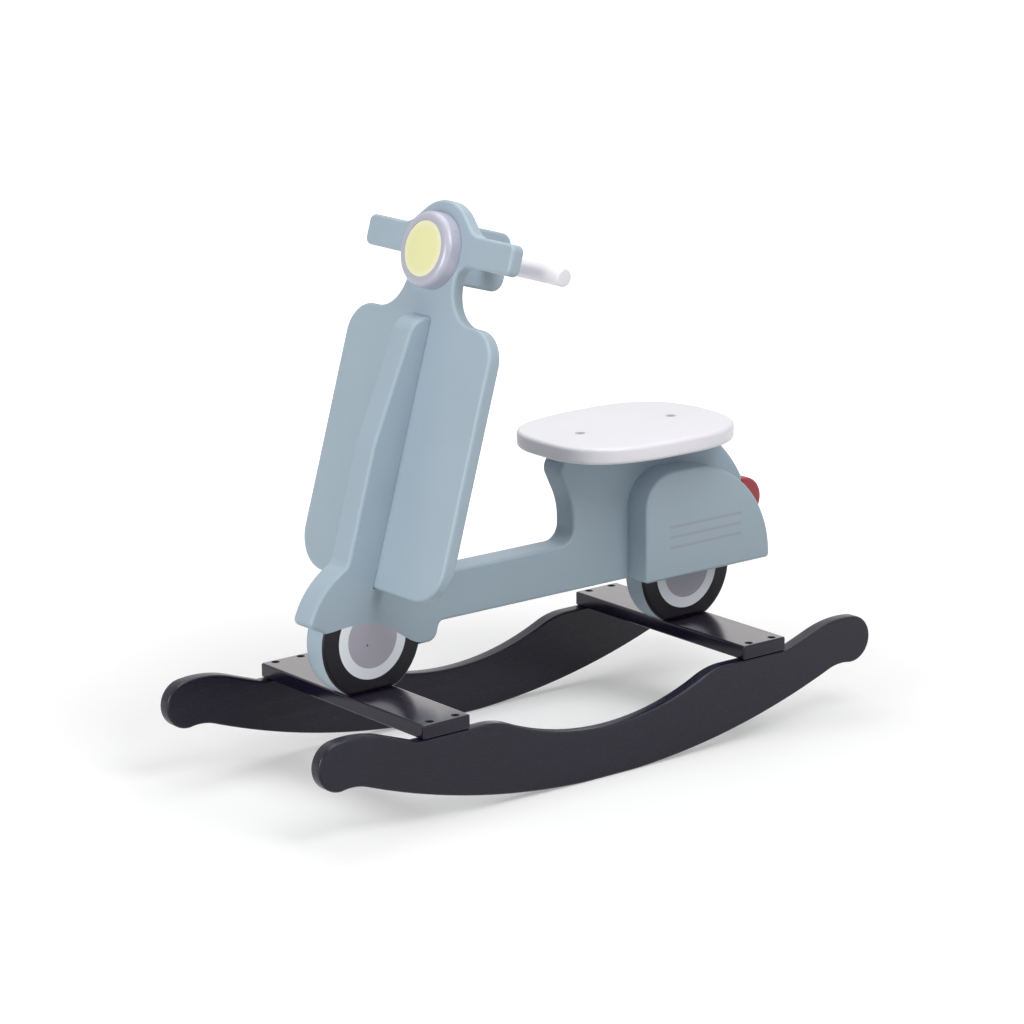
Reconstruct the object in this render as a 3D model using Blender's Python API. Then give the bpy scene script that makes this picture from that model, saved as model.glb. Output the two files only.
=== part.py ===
"""Wooden rocking scooter for a small child, as a flat-pack assembly of boards, dowels and screws.

Frame: +X forwards, +Y to the rider's left, +Z up, in metres.
The floor is z = 0, and the runners stand on it around x = 0.
Every board is an outline with rounded corners, extruded to its thickness and rounded along its edges.
"""

import math

import bmesh
import bpy
from mathutils import Matrix, Vector

# Overall sizes: the length follows the distance between the cross boards, which are also the axles
CROSS_BOARD_SPACING = 0.500
AXLE_X = CROSS_BOARD_SPACING / 2
WIDTH = 0.330

# Stock and fits
BOARD = 0.018
THICK_BOARD = 0.036
GAP = 0.0003
ARC_TOLERANCE = 0.00015
EDGE_SEGMENTS = 2

# Runners: a rocking arc with a short flat to stand on, a lobe at each end, a dip between level seats
ROCKING_RADIUS = 4.2 * AXLE_X
STANDING_FLAT = 0.080
SEAT_HEIGHT = 0.104
LOBE_X = AXLE_X + 0.152
LOBE_Z = 0.0965
LOBE_RADIUS = 0.030
STOP_RADIUS = 0.065
CROWN_RADIUS = 0.150
CROWN_LEAN = math.radians(8)
CROWN_SLOPE = math.radians(19)
DIP_RADIUS = 0.369
DIP_HEIGHT = 0.064
DIP_SHOULDER = 0.100
RUNNER_EDGE = 0.003

# Cross boards: their middle lies this far from the runners' lowest point
MIDDLE_X = -0.002
CROSS_BOARD_WIDTH = 0.070
CROSS_BOARD_EDGE = 0.0025
RUNNER_SCREW_PITCH = 0.038
WHEEL_SCREW_PITCH = 0.036

# Centre board: heights above the cross boards, and distances forwards of their middle
WHEEL_X = AXLE_X - 0.002
WHEEL_RADIUS = 0.0725
WHEEL_HEIGHT = 0.0635
BEAM_BOTTOM = 0.0675
BEAM_TOP = 0.1285
FENDER_X = WHEEL_X - 0.008
FENDER_Z = 0.0647
FENDER_RADIUS = 0.1034
FENDER_TOP_ANGLE = math.radians(60)
FENDER_NOSE_ANGLE = math.radians(23)
FENDER_NOSE_RADIUS = 0.008
FENDER_LIP = 0.084
FENDER_LIP_SLOPE = math.radians(25)
LOBE_BOTTOM = 0.044
LOBE_BACK = WHEEL_X - 0.095
LOBE_RAKE = 0.007
LOBE_CORNER = 0.014
LOBE_FILLET = 0.008
POST_X = 0.185 - WHEEL_X
POST_FOOT_RADIUS = 0.020
POST_BEND = 0.176
POST_BEND_RADIUS = 0.088
POST_TOP_X = POST_X + 0.031
POST_NOSE_RADIUS = 0.018
TAIL_X = -WHEEL_X - 0.094
TAIL_TOP_X = TAIL_X + 0.061
TAIL_SLOPE_X = TAIL_X + 0.016
TAIL_SLOPE_Z = 0.198
TAIL_SLOPE_RADIUS = 0.190
TAIL_LEDGE = 0.1695
TAIL_CORNER = 0.005
BODY_EDGE = 0.004

# Leg shield: it leans back from its foot, and heights on it are measured along it
LEAN = math.radians(16.2)
FOOT_X = WHEEL_X - 0.0024
FOOT_Z = 0.1268
SHIELD_WIDTH = 0.280
SHIELD_CORNER = 0.048
SHOULDER = 0.329
SHOULDER_RADIUS = 0.040
NECK_WIDTH = 0.090
NECK_LOWER_RADIUS = 0.0475
NECK_UPPER_RADIUS = 0.020
ARM_BOTTOM = 0.397
ARM_TOP = 0.4345
ARM_CORNER = 0.009
HEAD_Z = 0.409
HEAD_RADIUS = 0.060
HEAD_SLOPE = math.radians(50)
HEAD_FILLET = 0.030

# Keel: the centre board's ridge in front of the leg shield
KEEL_DEPTH = 0.044
KEEL_TOP_DEPTH = 0.024
KEEL_BEND = 0.168
KEEL_BEND_RADIUS = 0.100
KEEL_TOP_RADIUS = 0.026
KEEL_FOOT_RADIUS = 0.018

# Handle
BLOCK_BOTTOM = 0.373
BLOCK_TOP = 0.4445
BLOCK_LENGTH = 0.080
BLOCK_CORNER = 0.016
ROD_RADIUS = 0.011
ROD_LENGTH = 0.316
ROD_BEHIND = 0.070
ROD_END_RADIUS = 0.003

# Headlight
LAMP_Z = 0.407
LAMP_BASE_RADIUS = 0.0465
LAMP_FRONT_RADIUS = 0.0460
LAMP_DEPTH = 0.0205
LAMP_ROUNDING = 0.0085
LENS_RADIUS = 0.034
LENS_RECESS = 0.003
LENS_THICKNESS = 0.0027
LENS_ROUNDING = 0.0010

# Seat: two rounded halves, the front one longer and squarer
SEAT_WIDEST_X = POST_X - 0.122
SEAT_FRONT = 0.160
SEAT_BACK = 0.1145
SEAT_HALF_WIDTH = 0.1060
SEAT_FRONT_POWER = 2.9
SEAT_BACK_POWER = 2.45
SEAT_POINTS = 72
SEAT_EDGE = 0.005
SEAT_BOARD = 0.021
SEAT_BASE = 0.2405
SEAT_SCREW_XS = (SEAT_WIDEST_X + 0.097, SEAT_WIDEST_X - 0.051)

# Cowls
COWL_FRONT = POST_X - 0.088
COWL_BACK = TAIL_X - 0.015
COWL_TOP = 0.206
COWL_FRONT_RADIUS = 0.045
COWL_BACK_RADIUS = 0.133
COWL_CORNER = 0.005
COWL_DOWELS = ((COWL_FRONT - 0.044, 0.150), (COWL_BACK + 0.067, 0.112))
COWL_DOWEL_RADIUS = 0.005
COWL_DOWEL_DEPTH = 0.015

# Tail light
TAIL_LIGHT_Z = 0.1385
TAIL_LIGHT_RADIUS = 0.0275
TAIL_LIGHT_STRAIGHT = 0.0055
TAIL_LIGHT_EDGE = 0.005
TAIL_DOWEL_RADIUS = 0.004
TAIL_DOWEL_DEPTH = 0.014

# Countersunk wood screws
SCREW_HEAD_RADIUS = 0.005
SEAT_SCREW_HEAD_RADIUS = 0.0065
SCREW_RADIUS = 0.0022
SCREW_TIP_RADIUS = 0.0007
SCREW_TIP = 0.005
SCREW_SINK = 0.0004
SCREW_SOCKET = 0.002
SCREW_SOCKET_DEPTH = 0.0018
SCREW_SIDES = 12
LONG_SCREW = 0.050
SHORT_SCREW = 0.035
LAMP_SCREW = 0.028
KEEL_SCREW_HEIGHTS = (0.060, 0.165, 0.270)
BLOCK_SCREW_PITCH = 0.048

# Heights above the floor
CROSS_BOARD_BOTTOM = SEAT_HEIGHT + GAP
CROSS_BOARD_TOP = CROSS_BOARD_BOTTOM + BOARD
BODY_BASE = CROSS_BOARD_TOP + GAP


def clear_scene():
    for old in list(bpy.data.objects):
        bpy.data.objects.remove(old, do_unlink=True)


def make_material(name, colour, roughness, metallic=0.0):
    """A plain Principled material."""
    material = bpy.data.materials.new(name)
    material.use_nodes = True
    shader = material.node_tree.nodes["Principled BSDF"]
    shader.inputs["Base Color"].default_value = (*colour, 1.0)
    shader.inputs["Roughness"].default_value = roughness
    shader.inputs["Metallic"].default_value = metallic
    material.diffuse_color = (*colour, 1.0)
    return material


def make_frame(name, location, rotation=(0.0, 0.0, 0.0), parent=None):
    """An empty that other objects are placed from."""
    empty = bpy.data.objects.new(name, None)
    bpy.context.scene.collection.objects.link(empty)
    empty.location = location
    empty.rotation_euler = rotation
    empty.parent = parent
    return empty


def make_object(name, mesh, parent, location=(0.0, 0.0, 0.0), rotation=(0.0, 0.0, 0.0)):
    thing = bpy.data.objects.new(name, mesh)
    bpy.context.scene.collection.objects.link(thing)
    thing.parent = parent
    thing.location = location
    thing.rotation_euler = rotation
    return thing


def finish(thing, material):
    """Shades a piece smooth with sharp corners and gives it its material."""
    thing.data.materials.append(material)
    thing.data.shade_smooth()
    thing.data.set_sharp_from_angle(angle=math.radians(35))
    return thing


# Outlines


def arc(centre, radius, start, end, count=None):
    """Points along a circle from one angle to another, closer together on a small circle."""
    if count is None:
        step = 2 * math.acos(1 - ARC_TOLERANCE / radius)
        count = max(2, math.ceil(abs(end - start) / step))
    angles = [start + (end - start) * k / count for k in range(count + 1)]
    return [(centre[0] + radius * math.cos(a), centre[1] + radius * math.sin(a)) for a in angles]


def rounded(corners):
    """A closed outline from corners (x, y, radius), each rounded by an arc that touches its sides."""
    points = []
    for index, (x, y, radius) in enumerate(corners):
        here = Vector((x, y))
        if radius == 0:
            points.append((x, y))
            continue
        back = (Vector(corners[index - 1][:2]) - here).normalized()
        ahead = (Vector(corners[(index + 1) % len(corners)][:2]) - here).normalized()
        half = back.angle(ahead) / 2
        centre = here + (back + ahead).normalized() * (radius / math.sin(half))
        first = here + back * (radius / math.tan(half)) - centre
        last = here + ahead * (radius / math.tan(half)) - centre
        start = math.atan2(first.y, first.x)
        turn = math.remainder(math.atan2(last.y, last.x) - start, math.tau)
        points += arc(centre, radius, start, start + turn)
    return points


def sharp(points):
    """Points of an arc as corners that rounded() leaves alone."""
    return [(x, y, 0) for x, y in points]


def circles_meet(centre_a, radius_a, centre_b, radius_b):
    """The lower of the two points where two circles cross."""
    a, b = Vector(centre_a), Vector(centre_b)
    span = b - a
    along = (radius_a**2 - radius_b**2 + span.length**2) / (2 * span.length)
    across = math.sqrt(radius_a**2 - along**2)
    unit = span.normalized()
    sides = [a + unit * along + Vector((-unit.y, unit.x)) * across * s for s in (1, -1)]
    return min(sides, key=lambda p: p.y)


def lies_on(line, point):
    """Whether a point of the plane lies on the line through a place along a unit direction."""
    (x, y), (along_x, along_y) = line
    return abs((point[0] - x) * along_y - (point[1] - y) * along_x) < 1e-6


def board_mesh(name, outline, thickness, top=0.0, flush=(), bare=None):
    """An outline in the local XY plane, extruded down from top, its two rims marked for rounding.
    Sides on a flush line and the rim at the bare height meet another board and stay sharp.
    """
    bm = bmesh.new()
    rims = bm.edges.layers.float.new("bevel_weight_edge")
    face = bm.faces.new([bm.verts.new((x, y, top - thickness)) for x, y in outline])
    raised = bmesh.ops.extrude_face_region(bm, geom=[face])["geom"]
    lifted = [v for v in raised if isinstance(v, bmesh.types.BMVert)]
    bmesh.ops.translate(bm, verts=lifted, vec=(0, 0, thickness))
    bmesh.ops.recalc_face_normals(bm, faces=bm.faces)
    for edge in bm.edges:
        ends = [v.co for v in edge.verts]
        is_rim = abs(ends[0].z - ends[1].z) < 1e-6
        is_bare = bare is not None and abs(ends[0].z - bare) < 1e-6
        is_flush = any(all(lies_on(line, co) for co in ends) for line in flush)
        edge[rims] = 1.0 if is_rim and not is_bare and not is_flush else 0.0
    mesh = bpy.data.meshes.new(name)
    bm.to_mesh(mesh)
    bm.free()
    return mesh


def round_rims(thing, width):
    """Rounds the edges that board_mesh marked."""
    bevel = thing.modifiers.new("rounded rims", "BEVEL")
    bevel.limit_method = "WEIGHT"
    bevel.width = width
    bevel.segments = EDGE_SEGMENTS
    bevel.use_clamp_overlap = False


def turned_mesh(name, profile, sides, hexagon=()):
    """A turned solid about local Z from (radius, z) pairs that start and end on the axis.

    The first pair is the highest. Rings whose index is in hexagon are six-sided, for a screw's socket.
    """
    bm = bmesh.new()
    rings = []
    for index, (radius, z) in enumerate(profile):
        if radius == 0:
            rings.append([bm.verts.new((0, 0, z))])
            continue
        ring = []
        for k in range(sides):
            angle = math.tau * k / sides
            offset = (angle % math.radians(60)) - math.radians(30)
            reach = radius / math.cos(offset) if index in hexagon else radius
            ring.append(bm.verts.new((reach * math.cos(angle), reach * math.sin(angle), z)))
        rings.append(ring)
    for upper, lower in zip(rings, rings[1:]):
        for k in range(sides):
            following = (k + 1) % sides
            corners = [upper[k % len(upper)], lower[k % len(lower)]]
            corners += [lower[following % len(lower)], upper[following % len(upper)]]
            unique = list(dict.fromkeys(corners))
            bm.faces.new(unique)
    bmesh.ops.recalc_face_normals(bm, faces=bm.faces)
    mesh = bpy.data.meshes.new(name)
    bm.to_mesh(mesh)
    bm.free()
    return mesh


def cut(thing, name, shapes, parent):
    """Cuts every closed shape of the list (mesh, matrix in the parent's frame) out of a piece."""
    bm = bmesh.new()
    for mesh, matrix in shapes:
        placed = mesh.copy()
        placed.transform(matrix)
        bm.from_mesh(placed)
        bpy.data.meshes.remove(placed)
    tool_mesh = bpy.data.meshes.new(name)
    bm.to_mesh(tool_mesh)
    bm.free()
    tool = make_object(name, tool_mesh, parent)
    tool.hide_render = True
    tool.display_type = "WIRE"
    boolean = thing.modifiers.new(name, "BOOLEAN")
    boolean.operation = "DIFFERENCE"
    boolean.solver = "EXACT"
    boolean.object = tool


# Screws and dowels


def screw_profile(length, head):
    """Head on top at z = 0, point below."""
    cone = head - SCREW_RADIUS
    return [
        (0, -SCREW_SOCKET_DEPTH),
        (SCREW_SOCKET, -SCREW_SOCKET_DEPTH),
        (SCREW_SOCKET, 0),
        (head, 0),
        (SCREW_RADIUS, -cone),
        (SCREW_RADIUS, SCREW_TIP - length),
        (SCREW_TIP_RADIUS, -length),
        (0, -length),
    ]


def screw_hole_profile(length, head):
    """The space for a screw: its own shape grown by the gap, and open above the head."""
    cone = head - SCREW_RADIUS
    mouth = head + GAP
    return [
        (0, head),
        (mouth, head),
        (mouth, 0),
        (SCREW_RADIUS + GAP, -cone),
        (SCREW_RADIUS + GAP, SCREW_TIP - length - GAP),
        (SCREW_TIP_RADIUS + GAP, -length - GAP),
        (0, -length - GAP),
    ]


def pointing(direction, place):
    """A placement whose local Z points along the direction."""
    return Matrix.Translation(place) @ Vector(direction).to_track_quat("Z", "Y").to_matrix().to_4x4()


def add_screw(name, frame, matrix, length, material, head=SCREW_HEAD_RADIUS):
    mesh = turned_mesh(name, screw_profile(length, head), SCREW_SIDES, hexagon=(1, 2))
    screw = make_object(name, mesh, frame)
    screw.matrix_local = matrix
    return finish(screw, material)


def screw_hole(matrix, length, head=SCREW_HEAD_RADIUS):
    return (turned_mesh("screw hole", screw_hole_profile(length, head), SCREW_SIDES), matrix)


def rod_mesh(name, radius, length, rounding, sides):
    """A round bar along local Z, centred, with rounded ends."""
    half = length / 2
    corner = arc((radius - rounding, half - rounding), rounding, math.pi / 2, 0, 3)
    upper = [(r, z) for r, z in corner]
    lower = [(r, -z) for r, z in reversed(upper)]
    return turned_mesh(name, [(0, half)] + upper + lower + [(0, -half)], sides)


def plain_cylinder(radius, bottom, top, sides):
    profile = [(0, top), (radius, top), (radius, bottom), (0, bottom)]
    return turned_mesh("cutting cylinder", profile, sides)


# The pieces' outlines


def runner_outline():
    """Symmetric: flat, rocking arc, anti-tip stop, end lobe, crown, slope, level seat and dip."""
    flat_end = STANDING_FLAT / 2
    rocking_centre = Vector((0, math.sqrt(ROCKING_RADIUS**2 - flat_end**2)))
    lobe_centre = Vector((LOBE_X, LOBE_Z))
    stop_centre = circles_meet(
        rocking_centre, ROCKING_RADIUS + STOP_RADIUS, lobe_centre, LOBE_RADIUS + STOP_RADIUS
    )
    to_arc = rocking_centre - stop_centre
    to_lobe = lobe_centre - stop_centre
    flat_angle = math.asin(flat_end / ROCKING_RADIUS)
    stop_angle = math.atan2(-to_arc.x, to_arc.y)
    rocking = arc(rocking_centre, ROCKING_RADIUS, flat_angle - math.pi / 2, stop_angle - math.pi / 2)
    stop = arc(
        stop_centre, STOP_RADIUS, math.atan2(to_arc.y, to_arc.x), math.atan2(to_lobe.y, to_lobe.x)
    )
    crown_centre = lobe_centre - Vector((math.sin(CROWN_LEAN), math.cos(CROWN_LEAN))) * (
        CROWN_RADIUS - LOBE_RADIUS
    )
    lobe = arc(
        lobe_centre,
        LOBE_RADIUS,
        math.atan2(-to_lobe.y, -to_lobe.x),
        math.pi / 2 - CROWN_LEAN,
    )
    crown = arc(
        crown_centre, CROWN_RADIUS, math.pi / 2 - CROWN_LEAN, math.pi / 2 + CROWN_SLOPE
    )
    slope_end = crown[-1]
    seat_end = slope_end[0] - (slope_end[1] - SEAT_HEIGHT) / math.tan(CROWN_SLOPE)
    dip_centre_z = DIP_HEIGHT + DIP_RADIUS
    drop = dip_centre_z - (SEAT_HEIGHT - DIP_SHOULDER)
    shoulder_x = math.sqrt((DIP_RADIUS + DIP_SHOULDER) ** 2 - drop**2)
    dip_angle = math.atan2(shoulder_x, drop)
    shoulder = arc(
        (shoulder_x, SEAT_HEIGHT - DIP_SHOULDER),
        DIP_SHOULDER,
        math.pi / 2,
        math.pi / 2 + dip_angle,
    )
    dip = arc((0, dip_centre_z), DIP_RADIUS, dip_angle - math.pi / 2, -math.pi / 2)
    half = rocking + stop[1:] + lobe[1:] + crown[1:] + [(seat_end, SEAT_HEIGHT)] + shoulder + dip[1:-1]
    return half + dip[-1:] + [(-x, z) for x, z in reversed(half)]


def leaning(forwards, up):
    """A point of the leg shield's frame as distance and height in the centre board's plane."""
    x = FOOT_X + forwards * math.cos(LEAN) - up * math.sin(LEAN)
    z = FOOT_Z + forwards * math.sin(LEAN) + up * math.cos(LEAN)
    return x, z


def wheel_arc(x, start_height, end_height, side):
    """The wheel's rim between two heights, in front of its centre (side 1) or behind it (side -1)."""
    start = math.asin((start_height - WHEEL_HEIGHT) / WHEEL_RADIUS)
    end = math.asin((end_height - WHEEL_HEIGHT) / WHEEL_RADIUS)
    if side < 0:
        start, end = math.pi - start, math.pi - end
    return sharp(arc((x, WHEEL_HEIGHT), WHEEL_RADIUS, start, end))


def tangent_point(angle):
    """A point on the fender's circle and the direction down along it."""
    x = FENDER_X + FENDER_RADIUS * math.cos(angle)
    z = FENDER_Z + FENDER_RADIUS * math.sin(angle)
    return Vector((x, z)), Vector((math.sin(angle), -math.cos(angle)))


def lines_meet(point_a, along_a, point_b, along_b):
    """Where two lines in the plane cross."""
    apart = Vector(point_b) - Vector(point_a)
    turn = along_a[0] * along_b[1] - along_a[1] * along_b[0]
    reach = (apart.x * along_b[1] - apart.y * along_b[0]) / turn
    return Vector(point_a) + Vector(along_a) * reach


def centre_board_outline():
    """Front wheel, fender, keel, notch for the leg shield, beam, seat post, tail and rear wheel."""
    upper, down_upper = tangent_point(FENDER_TOP_ANGLE)
    nose, down_nose = tangent_point(FENDER_NOSE_ANGLE)
    fender_corner = lines_meet(upper, down_upper, nose, down_nose)
    front_rim = wheel_arc(WHEEL_X, 0, FENDER_LIP, 1)
    lip_along = (math.cos(FENDER_LIP_SLOPE), math.sin(FENDER_LIP_SLOPE))
    nose_corner = lines_meet(nose, down_nose, front_rim[-1][:2], lip_along)
    keel_up = Vector((-math.sin(LEAN), math.cos(LEAN)))
    keel_foot = lines_meet(upper, down_upper, leaning(KEEL_DEPTH, 0), keel_up)
    keel_bend = leaning(KEEL_DEPTH, KEEL_BEND)
    keel_top = leaning(KEEL_TOP_DEPTH, SHOULDER)
    keel_back = leaning(GAP, SHOULDER)
    notch_front = leaning(GAP, -GAP)
    notch_back = leaning(-BOARD - GAP, -GAP)
    notch_top = lines_meet(notch_back, keel_up, (0, BEAM_TOP), (1, 0))
    corners = front_rim + [
        (*nose_corner, FENDER_NOSE_RADIUS),
        (*fender_corner, FENDER_RADIUS),
        (*keel_foot, KEEL_FOOT_RADIUS),
        (*keel_bend, KEEL_BEND_RADIUS),
        (*keel_top, KEEL_TOP_RADIUS),
        (*keel_back, 0),
        (*notch_front, 0),
        (*notch_back, 0),
        (*notch_top, 0),
        (POST_X, BEAM_TOP, POST_FOOT_RADIUS),
        (POST_X, POST_BEND, POST_BEND_RADIUS),
        (POST_TOP_X, SEAT_BASE, POST_NOSE_RADIUS),
        (TAIL_TOP_X, SEAT_BASE, 0),
        (TAIL_SLOPE_X, TAIL_SLOPE_Z, TAIL_SLOPE_RADIUS),
        (TAIL_X, TAIL_LEDGE, 0),
        (TAIL_X, BEAM_BOTTOM, TAIL_CORNER),
    ]
    corners += wheel_arc(-WHEEL_X, BEAM_BOTTOM, 0, -1)
    corners += wheel_arc(-WHEEL_X, 0, BEAM_BOTTOM, 1)
    corners += [
        (LOBE_BACK - LOBE_RAKE, BEAM_BOTTOM, LOBE_FILLET),
        (LOBE_BACK, LOBE_BOTTOM, LOBE_CORNER),
    ]
    corners += wheel_arc(WHEEL_X, LOBE_BOTTOM, 0, -1)
    return rounded(corners)


def shield_outline():
    """Leg shield, neck, arms and round head, from the foot up the left side and down the right."""
    side = SHIELD_WIDTH / 2
    neck = NECK_WIDTH / 2
    apex = HEAD_Z + HEAD_RADIUS / math.sin(HEAD_SLOPE)
    slope_foot = (apex - ARM_TOP) * math.tan(HEAD_SLOPE)
    left = [
        (side, 0, SHIELD_CORNER),
        (side, SHOULDER, SHOULDER_RADIUS),
        (neck, SHOULDER, NECK_LOWER_RADIUS),
        (neck, ARM_BOTTOM, NECK_UPPER_RADIUS),
        (side, ARM_BOTTOM, ARM_CORNER),
        (side, ARM_TOP, ARM_CORNER),
        (slope_foot, ARM_TOP, HEAD_FILLET),
    ]
    right = [(-x, y, r) for x, y, r in reversed(left)]
    return rounded(left + [(0, apex, HEAD_RADIUS)] + right)


def seat_outline():
    """Two half superellipses that share their widest line."""
    points = []
    for k in range(SEAT_POINTS):
        angle = math.tau * k / SEAT_POINTS
        c, s = math.cos(angle), math.sin(angle)
        reach, power = (SEAT_FRONT, SEAT_FRONT_POWER) if c > 0 else (SEAT_BACK, SEAT_BACK_POWER)
        x = SEAT_WIDEST_X + reach * math.copysign(abs(c) ** (2 / power), c)
        y = SEAT_HALF_WIDTH * math.copysign(abs(s) ** (2 / power), s)
        points.append((x, y))
    return points


def cowl_outline():
    return rounded(
        [
            (COWL_FRONT, BEAM_BOTTOM, COWL_CORNER),
            (COWL_FRONT, COWL_TOP, COWL_FRONT_RADIUS),
            (COWL_BACK, COWL_TOP, COWL_BACK_RADIUS),
            (COWL_BACK, BEAM_BOTTOM, COWL_CORNER),
        ]
    )


def build():
    clear_scene()
    blue = make_material("blue paint", (0.36, 0.45, 0.50), 0.45)
    black = make_material("black paint", (0.035, 0.033, 0.037), 0.4)
    white = make_material("white paint", (0.85, 0.84, 0.86), 0.4)
    silver = make_material("silver paint", (0.55, 0.54, 0.62), 0.35, 0.4)
    yellow = make_material("yellow paint", (0.83, 0.82, 0.42), 0.4)
    red = make_material("red paint", (0.45, 0.04, 0.05), 0.4)
    steel = make_material("zinc plated steel", (0.55, 0.55, 0.56), 0.35, 1.0)
    beech = make_material("bare beech", (0.72, 0.55, 0.36), 0.6)
    upright = (math.pi / 2, 0, 0)

    floor = make_frame("floor", (0, 0, 0))
    body = make_frame("body", (MIDDLE_X, 0, BODY_BASE))
    shield_frame = make_frame("leaning frame", (FOOT_X, 0, FOOT_Z), parent=body)
    shield_frame.rotation_euler = Matrix(
        (
            (0, -math.sin(LEAN), math.cos(LEAN)),
            (1, 0, 0),
            (0, math.cos(LEAN), math.sin(LEAN)),
        )
    ).to_euler()

    # Runners and cross boards
    ends = (("front", AXLE_X), ("rear", -AXLE_X))
    runner_y = (WIDTH - BOARD) / 2
    runner_screws = []
    for end, x in ends:
        for side, y in (("left", runner_y), ("right", -runner_y)):
            for place, offset in (("ahead", RUNNER_SCREW_PITCH / 2), ("behind", -RUNNER_SCREW_PITCH / 2)):
                spot = (MIDDLE_X + x + offset, y, CROSS_BOARD_TOP - SCREW_SINK)
                matrix = pointing((0, 0, 1), spot)
                add_screw(f"runner_screw_{end}_{side}_{place}", floor, matrix, LONG_SCREW, steel)
                runner_screws.append((end, side, matrix))
    wheel_screws = []
    for end, x in ends:
        for place, offset in (("ahead", WHEEL_SCREW_PITCH / 2), ("behind", -WHEEL_SCREW_PITCH / 2)):
            spot = (MIDDLE_X + x + offset, 0, CROSS_BOARD_BOTTOM + SCREW_SINK)
            matrix = pointing((0, 0, -1), spot)
            add_screw(f"wheel_screw_{end}_{place}", floor, matrix, LONG_SCREW, steel)
            wheel_screws.append((end, matrix))
    for side, sign in (("left", 1), ("right", -1)):
        mesh = board_mesh(f"runner_{side}", runner_outline(), BOARD, BOARD / 2)
        runner = make_object(f"runner_{side}", mesh, floor, (0, sign * runner_y, 0), upright)
        round_rims(runner, RUNNER_EDGE)
        holes = [screw_hole(m, LONG_SCREW) for _, s, m in runner_screws if s == side]
        cut(runner, f"runner_{side} holes", holes, floor)
        finish(runner, black)
    half = CROSS_BOARD_WIDTH / 2
    for end, x in ends:
        outline = [(half, -WIDTH / 2), (half, WIDTH / 2), (-half, WIDTH / 2), (-half, -WIDTH / 2)]
        mesh = board_mesh(f"cross_board_{end}", rounded([(a, b, 0.002) for a, b in outline]), BOARD)
        board = make_object(f"cross_board_{end}", mesh, floor, (MIDDLE_X + x, 0, CROSS_BOARD_TOP))
        round_rims(board, CROSS_BOARD_EDGE)
        holes = [screw_hole(m, LONG_SCREW) for e, _, m in runner_screws if e == end]
        holes += [screw_hole(m, LONG_SCREW) for e, m in wheel_screws if e == end]
        cut(board, f"cross_board_{end} holes", holes, floor)
        finish(board, black)

    # Centre board
    notch = [
        (leaning(GAP, 0), (-math.sin(LEAN), math.cos(LEAN))),
        (leaning(0, -GAP), (math.cos(LEAN), math.sin(LEAN))),
        (leaning(-BOARD - GAP, 0), (-math.sin(LEAN), math.cos(LEAN))),
    ]
    outline = centre_board_outline()
    mesh = board_mesh("centre_board", outline, THICK_BOARD, THICK_BOARD / 2, notch)
    centre = make_object("centre_board", mesh, body, rotation=upright)
    round_rims(centre, BODY_EDGE)
    seat_top = SEAT_BASE + GAP + SEAT_BOARD
    seat_places = [pointing((0, 0, 1), (x, 0, seat_top - SCREW_SINK)) for x in SEAT_SCREW_XS]
    keel_places = [pointing((0, 0, -1), (0, up, -BOARD + SCREW_SINK)) for up in KEEL_SCREW_HEIGHTS]
    cowl_hole_half = THICK_BOARD / 2 + GAP + COWL_DOWEL_DEPTH + GAP
    cowl_hole = plain_cylinder(COWL_DOWEL_RADIUS + GAP, -cowl_hole_half, cowl_hole_half, 16)
    dowel_holes = [(cowl_hole, pointing((0, 1, 0), (x, 0, z))) for x, z in COWL_DOWELS]
    tail_hole_half = TAIL_DOWEL_DEPTH + GAP
    tail_face = TAIL_X - GAP / 2
    tail_hole = (
        plain_cylinder(TAIL_DOWEL_RADIUS + GAP, -tail_hole_half, tail_hole_half, 16),
        pointing((1, 0, 0), (tail_face, 0, TAIL_LIGHT_Z)),
    )
    seat_holes = [screw_hole(m, LONG_SCREW, SEAT_SCREW_HEAD_RADIUS) for m in seat_places]
    wheel_holes = [screw_hole(m, LONG_SCREW) for _, m in wheel_screws]
    keel_holes = [screw_hole(m, SHORT_SCREW) for m in keel_places]
    cut(centre, "centre_board seat holes", seat_holes, body)
    cut(centre, "centre_board wheel holes", wheel_holes, floor)
    cut(centre, "centre_board keel holes", keel_holes, shield_frame)
    cut(centre, "centre_board dowel holes", dowel_holes + [tail_hole], body)
    finish(centre, blue)

    # Leg shield, with the screws that hold it, the block and the headlight
    lamp_floor = GAP + LAMP_DEPTH - LENS_RECESS
    block_places = [
        pointing((0, 0, 1), (0, HEAD_Z + s * BLOCK_SCREW_PITCH / 2, -SCREW_SINK)) for s in (-1, 1)
    ]
    lamp_place = pointing((0, 0, 1), (0, LAMP_Z, lamp_floor - SCREW_SINK))
    mesh = board_mesh("leg_shield", shield_outline(), BOARD)
    shield = make_object("leg_shield", mesh, shield_frame)
    round_rims(shield, BODY_EDGE)
    holes = keel_holes + [screw_hole(m, LONG_SCREW) for m in block_places]
    holes += [screw_hole(lamp_place, LAMP_SCREW)]
    cut(shield, "leg_shield holes", holes, shield_frame)
    finish(shield, blue)
    for place, matrix in zip(("lower", "middle", "upper"), keel_places):
        add_screw(f"keel_screw_{place}", shield_frame, matrix, SHORT_SCREW, steel)
    for place, matrix in zip(("lower", "upper"), block_places):
        add_screw(f"block_screw_{place}", shield_frame, matrix, LONG_SCREW, steel)
    add_screw("headlight_screw", shield_frame, lamp_place, LAMP_SCREW, steel)

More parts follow.
